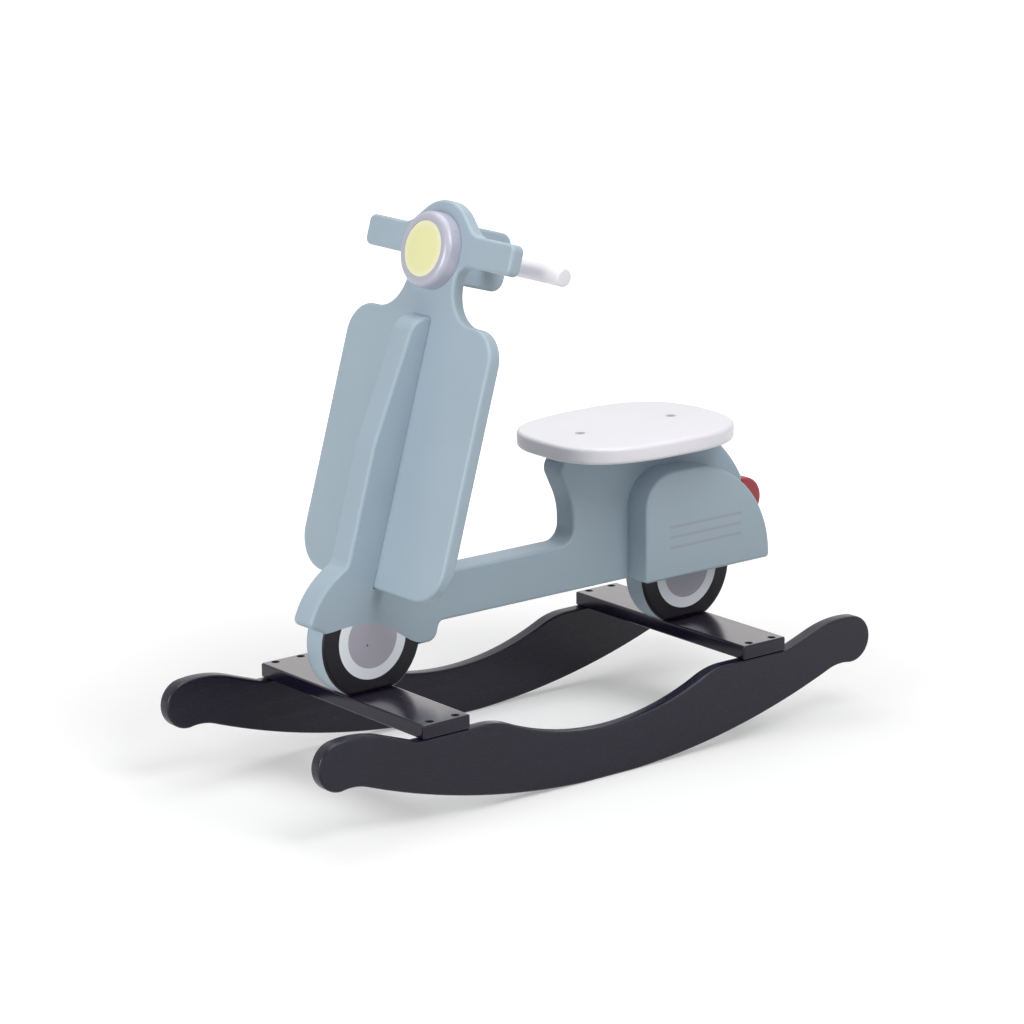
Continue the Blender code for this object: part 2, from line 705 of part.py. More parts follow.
    # Handle block and rod: the block's outline lies in the centre board's plane
    block_front = -BOARD - GAP
    block_back = block_front - BLOCK_LENGTH
    block_corners = [
        (block_front, BLOCK_BOTTOM, 0),
        (block_front, BLOCK_TOP, 0),
        (block_back, BLOCK_TOP, BLOCK_CORNER),
        (block_back, BLOCK_BOTTOM, BLOCK_CORNER),
    ]
    outline = rounded(block_corners)
    flush = [((block_front, 0), (0, 1))]
    mesh = board_mesh("handle_block", outline, THICK_BOARD, THICK_BOARD / 2, flush)
    mesh.transform(Matrix(((0, 0, -1, 0), (0, 1, 0, 0), (1, 0, 0, 0), (0, 0, 0, 1))))
    block = make_object("handle_block", mesh, shield_frame)
    round_rims(block, BODY_EDGE)
    across = pointing((1, 0, 0), (0, HEAD_Z, -ROD_BEHIND))
    holes = [screw_hole(m, LONG_SCREW) for m in block_places]
    holes += [(plain_cylinder(ROD_RADIUS + GAP, -THICK_BOARD, THICK_BOARD, 40), across)]
    cut(block, "handle_block holes", holes, shield_frame)
    finish(block, blue)
    mesh = rod_mesh("handle_rod", ROD_RADIUS, ROD_LENGTH, ROD_END_RADIUS, 40)
    rod = make_object("handle_rod", mesh, shield_frame)
    rod.matrix_local = across
    finish(rod, white)

    # Headlight
    rim = arc(
        (LAMP_FRONT_RADIUS - LAMP_ROUNDING, GAP + LAMP_DEPTH - LAMP_ROUNDING),
        LAMP_ROUNDING,
        math.pi / 2,
        0,
        4,
    )
    recess_radius = LENS_RADIUS + GAP
    profile = [(0, lamp_floor), (recess_radius, lamp_floor), (recess_radius, GAP + LAMP_DEPTH)]
    profile += rim + [(LAMP_BASE_RADIUS, GAP + BODY_EDGE / 2), (LAMP_BASE_RADIUS, GAP), (0, GAP)]
    lamp = make_object("headlight_body", turned_mesh("headlight_body", profile, 56), shield_frame)
    lamp.location = (0, LAMP_Z, 0)
    cut(lamp, "headlight_body hole", [screw_hole(lamp_place, LAMP_SCREW)], shield_frame)
    finish(lamp, silver)
    lens_bottom = lamp_floor + GAP
    lens_top = lens_bottom + LENS_THICKNESS
    rim_centre = (LENS_RADIUS - LENS_ROUNDING, lens_top - LENS_ROUNDING)
    profile = [(0, lens_top)] + arc(rim_centre, LENS_ROUNDING, math.pi / 2, 0, 3)
    profile += [(LENS_RADIUS, lens_bottom), (0, lens_bottom)]
    lens = make_object("headlight_lens", turned_mesh("headlight_lens", profile, 56), shield_frame)
    lens.location = (0, LAMP_Z, 0)
    finish(lens, yellow)

    # Seat
    mesh = board_mesh("seat_board", seat_outline(), SEAT_BOARD)
    seat = make_object("seat_board", mesh, body, (0, 0, seat_top))
    round_rims(seat, SEAT_EDGE)
    cut(seat, "seat_board holes", seat_holes, body)
    finish(seat, white)
    for place, matrix in zip(("front", "rear"), seat_places):
        add_screw(f"seat_screw_{place}", body, matrix, LONG_SCREW, steel, SEAT_SCREW_HEAD_RADIUS)

    # Cowls on their dowels
    for side, sign in (("left", 1), ("right", -1)):
        middle = sign * (THICK_BOARD + GAP)
        inner = sign * THICK_BOARD / 2
        outline = cowl_outline()
        mesh = board_mesh(f"cowl_{side}", outline, THICK_BOARD, THICK_BOARD / 2, (), inner)
        cowl = make_object(f"cowl_{side}", mesh, body, (0, middle, 0), upright)
        round_rims(cowl, BODY_EDGE)
        cut(cowl, f"cowl_{side} holes", dowel_holes, body)
        finish(cowl, blue)
    dowel_length = 2 * (THICK_BOARD / 2 + GAP + COWL_DOWEL_DEPTH)
    for place, (x, z) in zip(("front", "rear"), COWL_DOWELS):
        mesh = rod_mesh(f"cowl_dowel_{place}", COWL_DOWEL_RADIUS, dowel_length, 0.001, 16)
        dowel = make_object(f"cowl_dowel_{place}", mesh, body)
        dowel.matrix_local = pointing((0, 1, 0), (x, 0, z))
        finish(dowel, beech)

    # Tail light: a D shape on the tail's upright edge
    face = TAIL_X - GAP
    round_x = face - TAIL_LIGHT_STRAIGHT
    outline = [(face, TAIL_LIGHT_Z + TAIL_LIGHT_RADIUS)]
    outline += arc((round_x, TAIL_LIGHT_Z), TAIL_LIGHT_RADIUS, math.pi / 2, 3 * math.pi / 2)
    outline += [(face, TAIL_LIGHT_Z - TAIL_LIGHT_RADIUS)]
    flush = [((face, 0), (0, 1))]
    mesh = board_mesh("tail_light", outline, THICK_BOARD, THICK_BOARD / 2, flush)
    light = make_object("tail_light", mesh, body, rotation=upright)
    round_rims(light, TAIL_LIGHT_EDGE)
    cut(light, "tail_light hole", [tail_hole], body)
    finish(light, red)
    mesh = rod_mesh("tail_light_dowel", TAIL_DOWEL_RADIUS, 2 * TAIL_DOWEL_DEPTH, 0.001, 16)
    dowel = make_object("tail_light_dowel", mesh, body)
    dowel.matrix_local = tail_hole[1]
    finish(dowel, beech)


build()
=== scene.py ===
# %% [markdown]
# # A wooden rocking scooter
# The toy is a scooter cut from painted boards, standing on two curved runners.
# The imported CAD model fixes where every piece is. This lesson gives each piece the softly rounded surface
# and the satin paint of the real toy, then lights it like a studio photograph.

# %% Load the frame
import math

import bmesh
import bpy
import numpy as np
from mathutils import Matrix


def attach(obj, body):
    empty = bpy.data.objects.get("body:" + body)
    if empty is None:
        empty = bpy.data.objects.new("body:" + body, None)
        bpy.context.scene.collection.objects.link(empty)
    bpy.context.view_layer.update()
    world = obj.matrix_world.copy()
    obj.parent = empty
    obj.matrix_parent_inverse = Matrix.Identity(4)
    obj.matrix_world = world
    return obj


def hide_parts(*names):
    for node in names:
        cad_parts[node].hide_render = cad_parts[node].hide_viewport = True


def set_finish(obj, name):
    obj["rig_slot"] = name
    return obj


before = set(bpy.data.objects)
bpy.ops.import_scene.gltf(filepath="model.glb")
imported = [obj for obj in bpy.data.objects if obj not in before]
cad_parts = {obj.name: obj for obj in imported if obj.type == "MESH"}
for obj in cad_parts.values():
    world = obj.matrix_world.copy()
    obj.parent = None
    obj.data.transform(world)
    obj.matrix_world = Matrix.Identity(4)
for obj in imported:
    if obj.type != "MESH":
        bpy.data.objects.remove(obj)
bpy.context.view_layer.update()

# %% [markdown]
# ## The sizes that the outlines share
# A board maker works from a cutting plan. These are its numbers, in metres: +X is forwards, +Y is the
# rider's left and +Z is up. Heights on the scooter's body are measured from the top of the cross boards.

# %% The cutting plan
BOARD = 0.018
THICK_BOARD = 0.036
GAP = 0.0003
WIDTH = 0.330
AXLE_X = 0.250
MIDDLE_X = -0.002
SEAT_HEIGHT = 0.104
CROSS_BOARD_TOP = SEAT_HEIGHT + GAP + BOARD
BODY_BASE = CROSS_BOARD_TOP + GAP
LEAN = math.radians(16.2)
FOOT_X, FOOT_Z = AXLE_X - 0.0044, 0.1268
print("the body stands at", round(BODY_BASE, 4), "m")

# %% [markdown]
# ## Outlines from lines and arcs
# Every board is drawn with straight sides and round corners. An arc is a formula, so it can be as fine as
# the picture needs. A polygon with a radius for each corner is enough for most boards: the arc that touches
# both sides of a corner has its centre on the line that halves the angle.

# %% Arcs and rounded corners
ARC_STEP = 0.0012


def arc(centre, radius, start, end, step=ARC_STEP):
    """Points at centre + radius * (cos a, sin a), with a running evenly from start to end."""
    count = max(6, math.ceil(abs(end - start) * radius / step))
    a = np.linspace(start, end, count + 1)
    return np.stack([centre[0] + radius * np.cos(a), centre[1] + radius * np.sin(a)], axis=1)


def rounded(corners):
    """A closed outline from corners (x, y, radius). The centre of a corner's arc is radius / sin(half angle)
    away from it, and the arc starts and ends radius / tan(half angle) away."""
    pieces = []
    for index, (x, y, radius) in enumerate(corners):
        here = np.array([x, y])
        if radius == 0:
            pieces.append(here[None])
            continue
        back = np.array(corners[index - 1][:2]) - here
        ahead = np.array(corners[(index + 1) % len(corners)][:2]) - here
        back, ahead = back / np.linalg.norm(back), ahead / np.linalg.norm(ahead)
        half = math.acos(float(np.clip(back @ ahead, -1, 1))) / 2
        middle = (back + ahead) / np.linalg.norm(back + ahead)
        centre = here + middle * radius / math.sin(half)
        first = here + back * radius / math.tan(half) - centre
        last = here + ahead * radius / math.tan(half) - centre
        start = math.atan2(first[1], first[0])
        turn = math.remainder(math.atan2(last[1], last[0]) - start, math.tau)
        pieces.append(arc(centre, radius, start, start + turn))
    return np.concatenate(pieces)


def sharp(points):
    """Points of an arc as corners that rounded() leaves as they are."""
    return [(float(x), float(y), 0) for x, y in points]


def lines_meet(point_a, along_a, point_b, along_b):
    """Where two lines in the plane cross: point_a + along_a * s, with s from the two cross products."""
    apart = np.subtract(point_b, point_a)
    turn = along_a[0] * along_b[1] - along_a[1] * along_b[0]
    s = (apart[0] * along_b[1] - apart[1] * along_b[0]) / turn
    return np.add(point_a, np.multiply(along_a, s))


# %% [markdown]
# ## A board's rounded edge
# A board is its outline carried along an edge profile: flat face, quarter circle, straight side, quarter
# circle, flat face. Each step of the profile moves the outline a little way inwards. A narrow flat band
# inside each rounding keeps its shading off the big face. Where a board meets another one the router leaves
# its edge sharp, so that the joint closes: those sides are flush, and don't move inwards.

# %% Edge profile and the way inwards
ROUNDING_STEPS = 7
FLAT_BAND = 0.0004
SAME_PLACE = 1e-6


def edge_profile(thickness, rounding, bare=0):
    """(inset, height) pairs along each quarter circle: inset = r * (1 - cos t) and height = thickness / 2 -
    r * (1 - sin t). The upper edge stays sharp where bare is 1, and the lower one where it is -1."""
    t = np.linspace(0, math.pi / 2, ROUNDING_STEPS + 1)
    inset = rounding * (1 - np.cos(t))
    height = thickness / 2 - rounding * (1 - np.sin(t))
    upper = np.stack([np.append(inset, rounding + FLAT_BAND), np.append(height, thickness / 2)], axis=1)
    sharp_edge = np.array([[0, thickness / 2], [FLAT_BAND, thickness / 2]])
    lower = (sharp_edge if bare == -1 else upper)[::-1] * (1, -1)
    return np.concatenate([lower, sharp_edge if bare == 1 else upper])


def flush_sides(outline, lines):
    """For each side, from a point to the next, whether both its ends lie on one of the lines, which are
    given as (place, direction)."""
    flush = np.zeros(len(outline), bool)
    for spot, along in lines:
        across = (outline - spot) @ np.array([along[1], -along[0]])
        on_line = np.abs(across) < SAME_PLACE
        flush |= on_line & np.roll(on_line, -1)
    return flush


def inward(outline, flush):
    """For each point the step that moves both its neighbouring sides inwards by one: the sum of their
    normals over 1 + their dot product. Next to a flush side it runs along that side, and between two of
    them it is zero."""
    side = np.roll(outline, -1, axis=0) - outline
    side = side / np.linalg.norm(side, axis=1, keepdims=True)
    normal = np.stack([-side[:, 1], side[:, 0]], axis=1)
    side_before, before, flush_before = (np.roll(a, 1, axis=0) for a in (side, normal, flush))
    step = (normal + before) / (1 + (normal * before).sum(axis=1, keepdims=True))
    ahead, behind = flush & ~flush_before, flush_before & ~flush
    step[ahead] = side[ahead] / (side * before).sum(axis=1, keepdims=True)[ahead]
    step[behind] = side_before[behind] / (side_before * normal).sum(axis=1, keepdims=True)[behind]
    step[flush & flush_before] = 0
    return step


print("steps of an edge profile", len(edge_profile(BOARD, 0.003)))

# %% [markdown]
# ## From arrays to a mesh
# Points and faces are worked out as arrays and put into a mesh in one go. Blender shades it smooth except
# across sharp angles, so that roundings look round and cut edges stay crisp.

# %% Meshes from grids
SHARP_ANGLE = math.radians(40)


def make_piece(points, faces, name="shape"):
    """An object at the origin whose mesh holds the points and the faces."""
    mesh = bpy.data.meshes.new(name)
    mesh.from_pydata(np.asarray(points, float), [], faces)
    mesh.shade_smooth()
    mesh.set_sharp_from_angle(angle=SHARP_ANGLE)
    mesh.update()
    piece = bpy.data.objects.new(name, mesh)
    bpy.context.scene.collection.objects.link(piece)
    return piece


def merge_points(piece):
    """Points less than a thousandth of a millimetre apart become one, and faces without area go."""
    bm = bmesh.new()
    bm.from_mesh(piece.data)
    bmesh.ops.remove_doubles(bm, verts=bm.verts, dist=SAME_PLACE)
    bm.to_mesh(piece.data)
    bm.free()
    piece.data.set_sharp_from_angle(angle=SHARP_ANGLE)


def grid_faces(rows, columns):
    """Quads between neighbouring rows of a grid whose columns close into a ring."""
    r, c = np.meshgrid(np.arange(rows - 1), np.arange(columns), indexing="ij")
    following = (c + 1) % columns
    this_row, next_row = r * columns, (r + 1) * columns
    quads = np.stack([this_row + c, this_row + following, next_row + following, next_row + c])
    return quads.reshape(4, -1).T.tolist()


# %% [markdown]
# ## The board itself
# The edge is a grid with one row for each step of the profile and one column for each point of the outline.
# The two big faces are flat, so each is a single polygon.

# %% Board surface


def board(outline, thickness, rounding, place, lines=(), bare=0):
    """A flat board. place is a 4 x 4 matrix from (outline x, outline y, height about the middle) to the
    world. Sides on the lines are flush, and points that fall together there are merged."""
    area = (outline[:, 0] * np.roll(outline[:, 1], -1) - outline[:, 1] * np.roll(outline[:, 0], -1)).sum()
    outline = outline if area > 0 else outline[::-1]
    profile = edge_profile(thickness, rounding, bare)
    step = inward(outline, flush_sides(outline, lines))
    flat = outline[None] + step[None] * profile[:, 0][:, None, None]
    height = np.broadcast_to(profile[:, 1][:, None, None], (*flat.shape[:2], 1))
    points = np.concatenate([flat, height], axis=2).reshape(-1, 3)
    place = np.array(place, float)
    points = points @ place[:3, :3].T + place[:3, 3]
    rows, columns = len(profile), len(outline)
    faces = grid_faces(rows, columns)
    faces.append(list(range(columns))[::-1])
    faces.append(list(range((rows - 1) * columns, rows * columns)))
    piece = make_piece(points, faces)
    if len(lines):
        merge_points(piece)
    return piece


# %% [markdown]
# ## Turned pieces
# The handle, the lamp and the screws are round, as if made on a lathe: a profile of (radius, height) pairs
# turned about an axis. The rings are the rows of a grid, and the two ends on the axis are closed with fans.

# %% Turned surface


def pointing(direction, spot):
    """A placement whose local Z runs along the direction."""
    z = np.array(direction, float) / np.linalg.norm(direction)
    helper = np.array([0, 0, 1.0]) if abs(z[2]) < 0.9 else np.array([1.0, 0, 0])
    x = np.cross(helper, z)
    x = x / np.linalg.norm(x)
    place = np.eye(4)
    place[:3, :3] = np.stack([x, np.cross(z, x), z], axis=1)
    place[:3, 3] = spot
    return place


def turned(profile, place, sides=64, hexagon=()):
    """Points (r cos a, r sin a, h). Rows in hexagon use r / cos(a folded to +-30 degrees), a six-sided
    ring. The profile starts and ends on the axis and runs from the top down."""
    profile = np.array(profile, float)
    a = np.linspace(0, math.tau, sides, endpoint=False)
    fold = np.remainder(a, math.pi / 3) - math.pi / 6
    rings = profile[1:-1]
    reach = np.broadcast_to(rings[:, 0][:, None], (len(rings), sides)).copy()
    for row in hexagon:
        reach[row] = rings[row, 0] / np.cos(fold)
    height = np.broadcast_to(rings[:, 1][:, None], reach.shape)
    points = np.stack([reach * np.cos(a), reach * np.sin(a), height], axis=2).reshape(-1, 3)
    points = np.concatenate([points, [[0, 0, profile[0, 1]], [0, 0, profile[-1, 1]]]])
    points = points @ place[:3, :3].T + place[:3, 3]
    ring, last = np.arange(sides), len(rings) * sides
    following = (ring + 1) % sides
    quads = [face[::-1] for face in grid_faces(len(rings), sides)]
    top = np.stack([ring, following, np.full(sides, last)], axis=1).tolist()
    foot = np.stack([following, ring, np.full(sides, last + 1)], axis=1) + [[last - sides, last - sides, 0]]
    return make_piece(points, quads + top + foot.tolist())


def rounding_arc(radius, height, size, steps=6):
    """(radius, height) pairs of a quarter circle: radius - size * (1 - sin t) and height -
    size * (1 - cos t)."""
    t = np.linspace(0, math.pi / 2, steps + 1)
    return np.stack([radius - size + size * np.sin(t), height - size + size * np.cos(t)], axis=1).tolist()


# %% [markdown]
# ## Where the boards stand
# A board's outline is drawn flat and then placed: runners, centre board and cowls stand upright along the
# toy, cross boards and seat lie level, and the leg shield leans back by its own angle. A placement is a
# 4 x 4 matrix whose columns say where the outline's x, its y and the board's thickness point.

# %% Placements


def placement(x_to, y_to, out_to, spot):
    """The matrix that sends the outline's x, its y and the thickness along the three directions."""
    place = np.eye(4)
    place[:3, :3] = np.array([x_to, y_to, out_to], float).T
    place[:3, 3] = spot
    return place


def upright(y):
    """A board that stands along the toy, its middle y to the left of the toy's."""
    return placement((1, 0, 0), (0, 0, 1), (0, -1, 0), (MIDDLE_X, y, BODY_BASE))


def lying(height):
    """A level board with its middle at the height."""
    return placement((1, 0, 0), (0, 1, 0), (0, 0, 1), (MIDDLE_X, 0, height))


shield_up = np.array([-math.sin(LEAN), 0, math.cos(LEAN)])
shield_out = np.array([math.cos(LEAN), 0, math.sin(LEAN)])
shield_foot = np.array([MIDDLE_X + FOOT_X, 0, BODY_BASE + FOOT_Z])


def on_shield(across, up, out):
    """A point of the leaning shield: across to the left, up along it and out of its front face."""
    return shield_foot + np.array([0, across, 0]) + shield_up * up + shield_out * out


def leaning(forwards, up):
    """The same in the centre board's plane, as distance forwards and height above the cross boards."""
    return (
        FOOT_X + forwards * math.cos(LEAN) - up * math.sin(LEAN),
        FOOT_Z + forwards * math.sin(LEAN) + up * math.cos(LEAN),
    )


# %% [markdown]
# ## The screws
# The boards are held by countersunk screws with a six-sided socket. Each is a short turned profile, and its
# hole is the same shape grown by the gap.

# %% Screws and their holes
SCREW_HEAD, SEAT_SCREW_HEAD, SHANK, SINK = 0.005, 0.0065, 0.0022, 0.0004
SOCKET, SOCKET_DEPTH, SOCKET_TAPER, SOCKET_RIM, RIM_CHAMFER = 0.002, 0.0018, 0.0001, 0.0002, 0.0003
TIP, TIP_RADIUS = 0.005, 0.0007
LONG_SCREW, SHORT_SCREW, LAMP_SCREW = 0.050, 0.035, 0.028
CUTTER_HEAD = 0.005


def screw(place, length, head):
    """A flat head with a chamfered rim and a six-sided socket, a cone and a pointed shank."""
    profile = [(0, -SOCKET_DEPTH), (SOCKET - SOCKET_TAPER, -SOCKET_DEPTH), (SOCKET, -SOCKET_RIM)]
    profile += [(SOCKET + SOCKET_RIM, 0), (head - RIM_CHAMFER, 0), (head, -RIM_CHAMFER)]
    profile += [(SHANK, SHANK - head), (SHANK, TIP - length), (TIP_RADIUS, -length), (0, -length)]
    return turned(profile, place, sides=36, hexagon=(0, 1))


def screw_hole(place, length, head):
    """The screw grown by the gap. It stands out of the board, so that the Boolean opens it cleanly."""
    mouth, bore, foot = head + GAP, SHANK + GAP, -length - GAP
    profile = [(0, CUTTER_HEAD), (mouth, CUTTER_HEAD), (mouth, 0)]
    profile += [(bore, SHANK - head), (bore, foot), (0, foot)]
    return turned(profile, place, sides=36)


# %% [markdown]
# ## Drilling, and taking the CAD model's place
# A hole is drilled by taking a closed shape away from the board with an exact Boolean, whose result is kept
# as plain mesh. Each finished piece then stands for the CAD node of its name, rides on the body with it and
# gets a slot for its paint.

# %% Drilling and naming
finished = {}


def holes(screws, part=""):
    """A cutter for each screw whose name holds the part, from its (placement, length, head)."""
    return [screw_hole(*size) for name, size in screws.items() if part in name]


def drill(piece, cutters):
    """Cuts the closed shapes out of the piece and keeps the result as its mesh."""
    for cutter in cutters:
        boolean = piece.modifiers.new("hole", "BOOLEAN")
        boolean.operation, boolean.solver, boolean.object = "DIFFERENCE", "EXACT", cutter
    depsgraph = bpy.context.evaluated_depsgraph_get()
    mesh = bpy.data.meshes.new_from_object(piece.evaluated_get(depsgraph))
    piece.modifiers.clear()
    piece.data = mesh
    for cutter in cutters:
        bpy.data.objects.remove(cutter, do_unlink=True)
    mesh.shade_smooth()
    mesh.set_sharp_from_angle(angle=SHARP_ANGLE)
    return piece


def stands_for(piece, node, paint):
    """The piece takes the CAD node's name and place, rides on the body and gets its finish."""
    piece.name = piece.data.name = f"{node}_surface"
    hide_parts(node)
    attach(piece, "root")
    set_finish(piece, paint)
    finished[node] = piece
    print(node, len(piece.data.polygons), "faces")


# %% [markdown]
# ## Runners
# Each runner is one plank cut in a long rocking arc with a short flat to stand on, a hooked stop and a round
# end that keep it from tipping over, a level seat for each cross board and a dip between them.
# Half of it is drawn and the other half is its mirror image.

# %% Runner outline
ROCKING_RADIUS, STANDING_FLAT = 1.050, 0.080
LOBE_X, LOBE_Z, LOBE_RADIUS, STOP_RADIUS = AXLE_X + 0.152, 0.0965, 0.030, 0.065
CROWN_RADIUS, CROWN_LEAN, CROWN_SLOPE = 0.150, math.radians(8), math.radians(19)
DIP_RADIUS, DIP_HEIGHT, DIP_SHOULDER = 0.369, 0.064, 0.100
LONG_ARC_STEP = 0.004


def circles_meet(centre_a, radius_a, centre_b, radius_b):
    """The lower crossing of two circles: along the line of centres by the cosine rule, then across it."""
    span = np.subtract(centre_b, centre_a)
    reach = np.hypot(*span)
    along = (radius_a**2 - radius_b**2 + reach**2) / (2 * reach)
    across = math.sqrt(radius_a**2 - along**2)
    unit = span / reach
    both = [np.add(centre_a, unit * along + np.array([-unit[1], unit[0]]) * across * s) for s in (1, -1)]
    return min(both, key=lambda point: point[1])


def runner_outline():
    """Flat, rocking arc, stop, lobe, crown, slope, level seat, shoulder and dip, then the mirror image."""
    flat_end = STANDING_FLAT / 2
    rocking = np.array([0, math.sqrt(ROCKING_RADIUS**2 - flat_end**2)])
    lobe = np.array([LOBE_X, LOBE_Z])
    stop = circles_meet(rocking, ROCKING_RADIUS + STOP_RADIUS, lobe, LOBE_RADIUS + STOP_RADIUS)
    to_arc, to_lobe = rocking - stop, lobe - stop
    quarter = math.pi / 2
    flat_angle, stop_angle = math.asin(flat_end / ROCKING_RADIUS), math.atan2(-to_arc[0], to_arc[1])
    crown = lobe - np.array([math.sin(CROWN_LEAN), math.cos(CROWN_LEAN)]) * (CROWN_RADIUS - LOBE_RADIUS)
    crown_arc = arc(crown, CROWN_RADIUS, quarter - CROWN_LEAN, quarter + CROWN_SLOPE)
    end_x = crown_arc[-1, 0] - (crown_arc[-1, 1] - SEAT_HEIGHT) / math.tan(CROWN_SLOPE)
    dip_z = DIP_HEIGHT + DIP_RADIUS
    drop = dip_z - (SEAT_HEIGHT - DIP_SHOULDER)
    shoulder_x = math.sqrt((DIP_RADIUS + DIP_SHOULDER) ** 2 - drop**2)
    dip_angle = math.atan2(shoulder_x, drop)
    half = np.concatenate(
        [
            arc(rocking, ROCKING_RADIUS, flat_angle - quarter, stop_angle - quarter, LONG_ARC_STEP),
            arc(stop, STOP_RADIUS, math.atan2(to_arc[1], to_arc[0]), math.atan2(to_lobe[1], to_lobe[0]))[1:],
            arc(lobe, LOBE_RADIUS, math.atan2(-to_lobe[1], -to_lobe[0]), quarter - CROWN_LEAN)[1:],
            crown_arc[1:],
            [[end_x, SEAT_HEIGHT]],
            arc((shoulder_x, SEAT_HEIGHT - DIP_SHOULDER), DIP_SHOULDER, quarter, quarter + dip_angle),
            arc((0, dip_z), DIP_RADIUS, dip_angle - quarter, -quarter, LONG_ARC_STEP)[1:],
        ]
    )
    return np.concatenate([half, (half * (-1, 1))[::-1][1:]])


print("runner outline", len(runner_outline()), "points")

# %% [markdown]
# ## Runners and cross boards in place
# Two short cross boards tie the runners together, and the scooter stands on them. Front and rear, left and
# right come from the same pattern, so loops make them. Each screw's placement, length and head are worked
# out first, because the holes in the boards and the screw itself share them.

# %% Runners and cross boards
RUNNER_EDGE, CROSS_BOARD_EDGE, CROSS_BOARD_CORNER, CROSS_BOARD_HALF = 0.003, 0.0025, 0.003, 0.035
RUNNER_SCREW_STEP, WHEEL_SCREW_STEP = 0.019, 0.018
ends = {"front": AXLE_X, "rear": -AXLE_X}
sides = {"left": (WIDTH - BOARD) / 2, "right": (BOARD - WIDTH) / 2}
runner_screws, wheel_screws = {}, {}
for end, x in ends.items():
    for side, y in sides.items():
        for spot, offset in (("ahead", RUNNER_SCREW_STEP), ("behind", -RUNNER_SCREW_STEP)):
            place = pointing((0, 0, 1), (MIDDLE_X + x + offset, y, CROSS_BOARD_TOP - SINK))
            runner_screws[f"runner_screw_{end}_{side}_{spot}"] = (place, LONG_SCREW, SCREW_HEAD)
    for spot, offset in (("ahead", WHEEL_SCREW_STEP), ("behind", -WHEEL_SCREW_STEP)):
        place = pointing((0, 0, -1), (MIDDLE_X + x + offset, 0, CROSS_BOARD_TOP - BOARD + SINK))
        wheel_screws[f"wheel_screw_{end}_{spot}"] = (place, LONG_SCREW, SCREW_HEAD)

for side, y in sides.items():
    place = placement((1, 0, 0), (0, 0, 1), (0, -1, 0), (0, y, 0))
    runner = board(runner_outline(), BOARD, RUNNER_EDGE, place)
    stands_for(drill(runner, holes(runner_screws, side)), f"runner_{side}", "black_paint")

quarters = ((1, -1), (1, 1), (-1, 1), (-1, -1))
for end, x in ends.items():
    corners = [(x + a * CROSS_BOARD_HALF, b * WIDTH / 2, CROSS_BOARD_CORNER) for a, b in quarters]
    place = lying(CROSS_BOARD_TOP - BOARD / 2)
    cross = board(rounded(corners), BOARD, CROSS_BOARD_EDGE, place)
    cutters = holes({**runner_screws, **wheel_screws}, f"_{end}_")
    stands_for(drill(cross, cutters), f"cross_board_{end}", "black_paint")

# %% [markdown]
# ## The centre board
# One thick board holds the whole scooter together: front wheel, mudguard, keel, notch for the leg shield,
# beam, seat post, tail and rear wheel are a single outline. Wheel rims are arcs about the wheels' centres,
# and the rest is a polygon with rounded corners. Working it out as one outline keeps every line flowing as a
# sawn board does.

# %% Centre board outline
WHEEL_X, WHEEL_RADIUS, WHEEL_HEIGHT = AXLE_X - 0.002, 0.0725, 0.0635
BEAM_BOTTOM, BEAM_TOP, SEAT_BASE, SHOULDER = 0.0675, 0.1285, 0.2405, 0.329
FENDER = np.array([WHEEL_X - 0.008, 0.0647])
FENDER_RADIUS, FENDER_TOP_ANGLE, FENDER_NOSE_ANGLE = 0.1034, math.radians(60), math.radians(23)
LIP_HEIGHT, LIP_SLOPE = 0.084, math.radians(25)
KEEL_DEPTH, KEEL_BEND, KEEL_TOP_DEPTH = 0.044, 0.168, 0.024
POST_X, TAIL_X = 0.185 - WHEEL_X, -WHEEL_X - 0.094
POST_BEND, POST_TOP_X = 0.176, POST_X + 0.031
TAIL_TOP_X, TAIL_SLOPE, TAIL_LEDGE = TAIL_X + 0.061, (TAIL_X + 0.016, 0.198), 0.1695
LOBE_BACK, LOBE_RAKE, LOBE_BOTTOM = WHEEL_X - 0.095, 0.007, 0.044
keel_up, keel_out = (-math.sin(LEAN), math.cos(LEAN)), (math.cos(LEAN), math.sin(LEAN))


def wheel_arc(x, start_height, end_height, side):
    """The wheel's rim between two heights, in front of its centre (side 1) or behind it (side -1)."""
    start = math.asin((start_height - WHEEL_HEIGHT) / WHEEL_RADIUS)
    end = math.asin((end_height - WHEEL_HEIGHT) / WHEEL_RADIUS)
    if side < 0:
        start, end = math.pi - start, math.pi - end
    return sharp(arc((x, WHEEL_HEIGHT), WHEEL_RADIUS, start, end))


def fender_tangent(angle):
    """A point on the mudguard's circle and the direction down along it."""
    point = FENDER + FENDER_RADIUS * np.array([math.cos(angle), math.sin(angle)])
    return point, (math.sin(angle), -math.cos(angle))


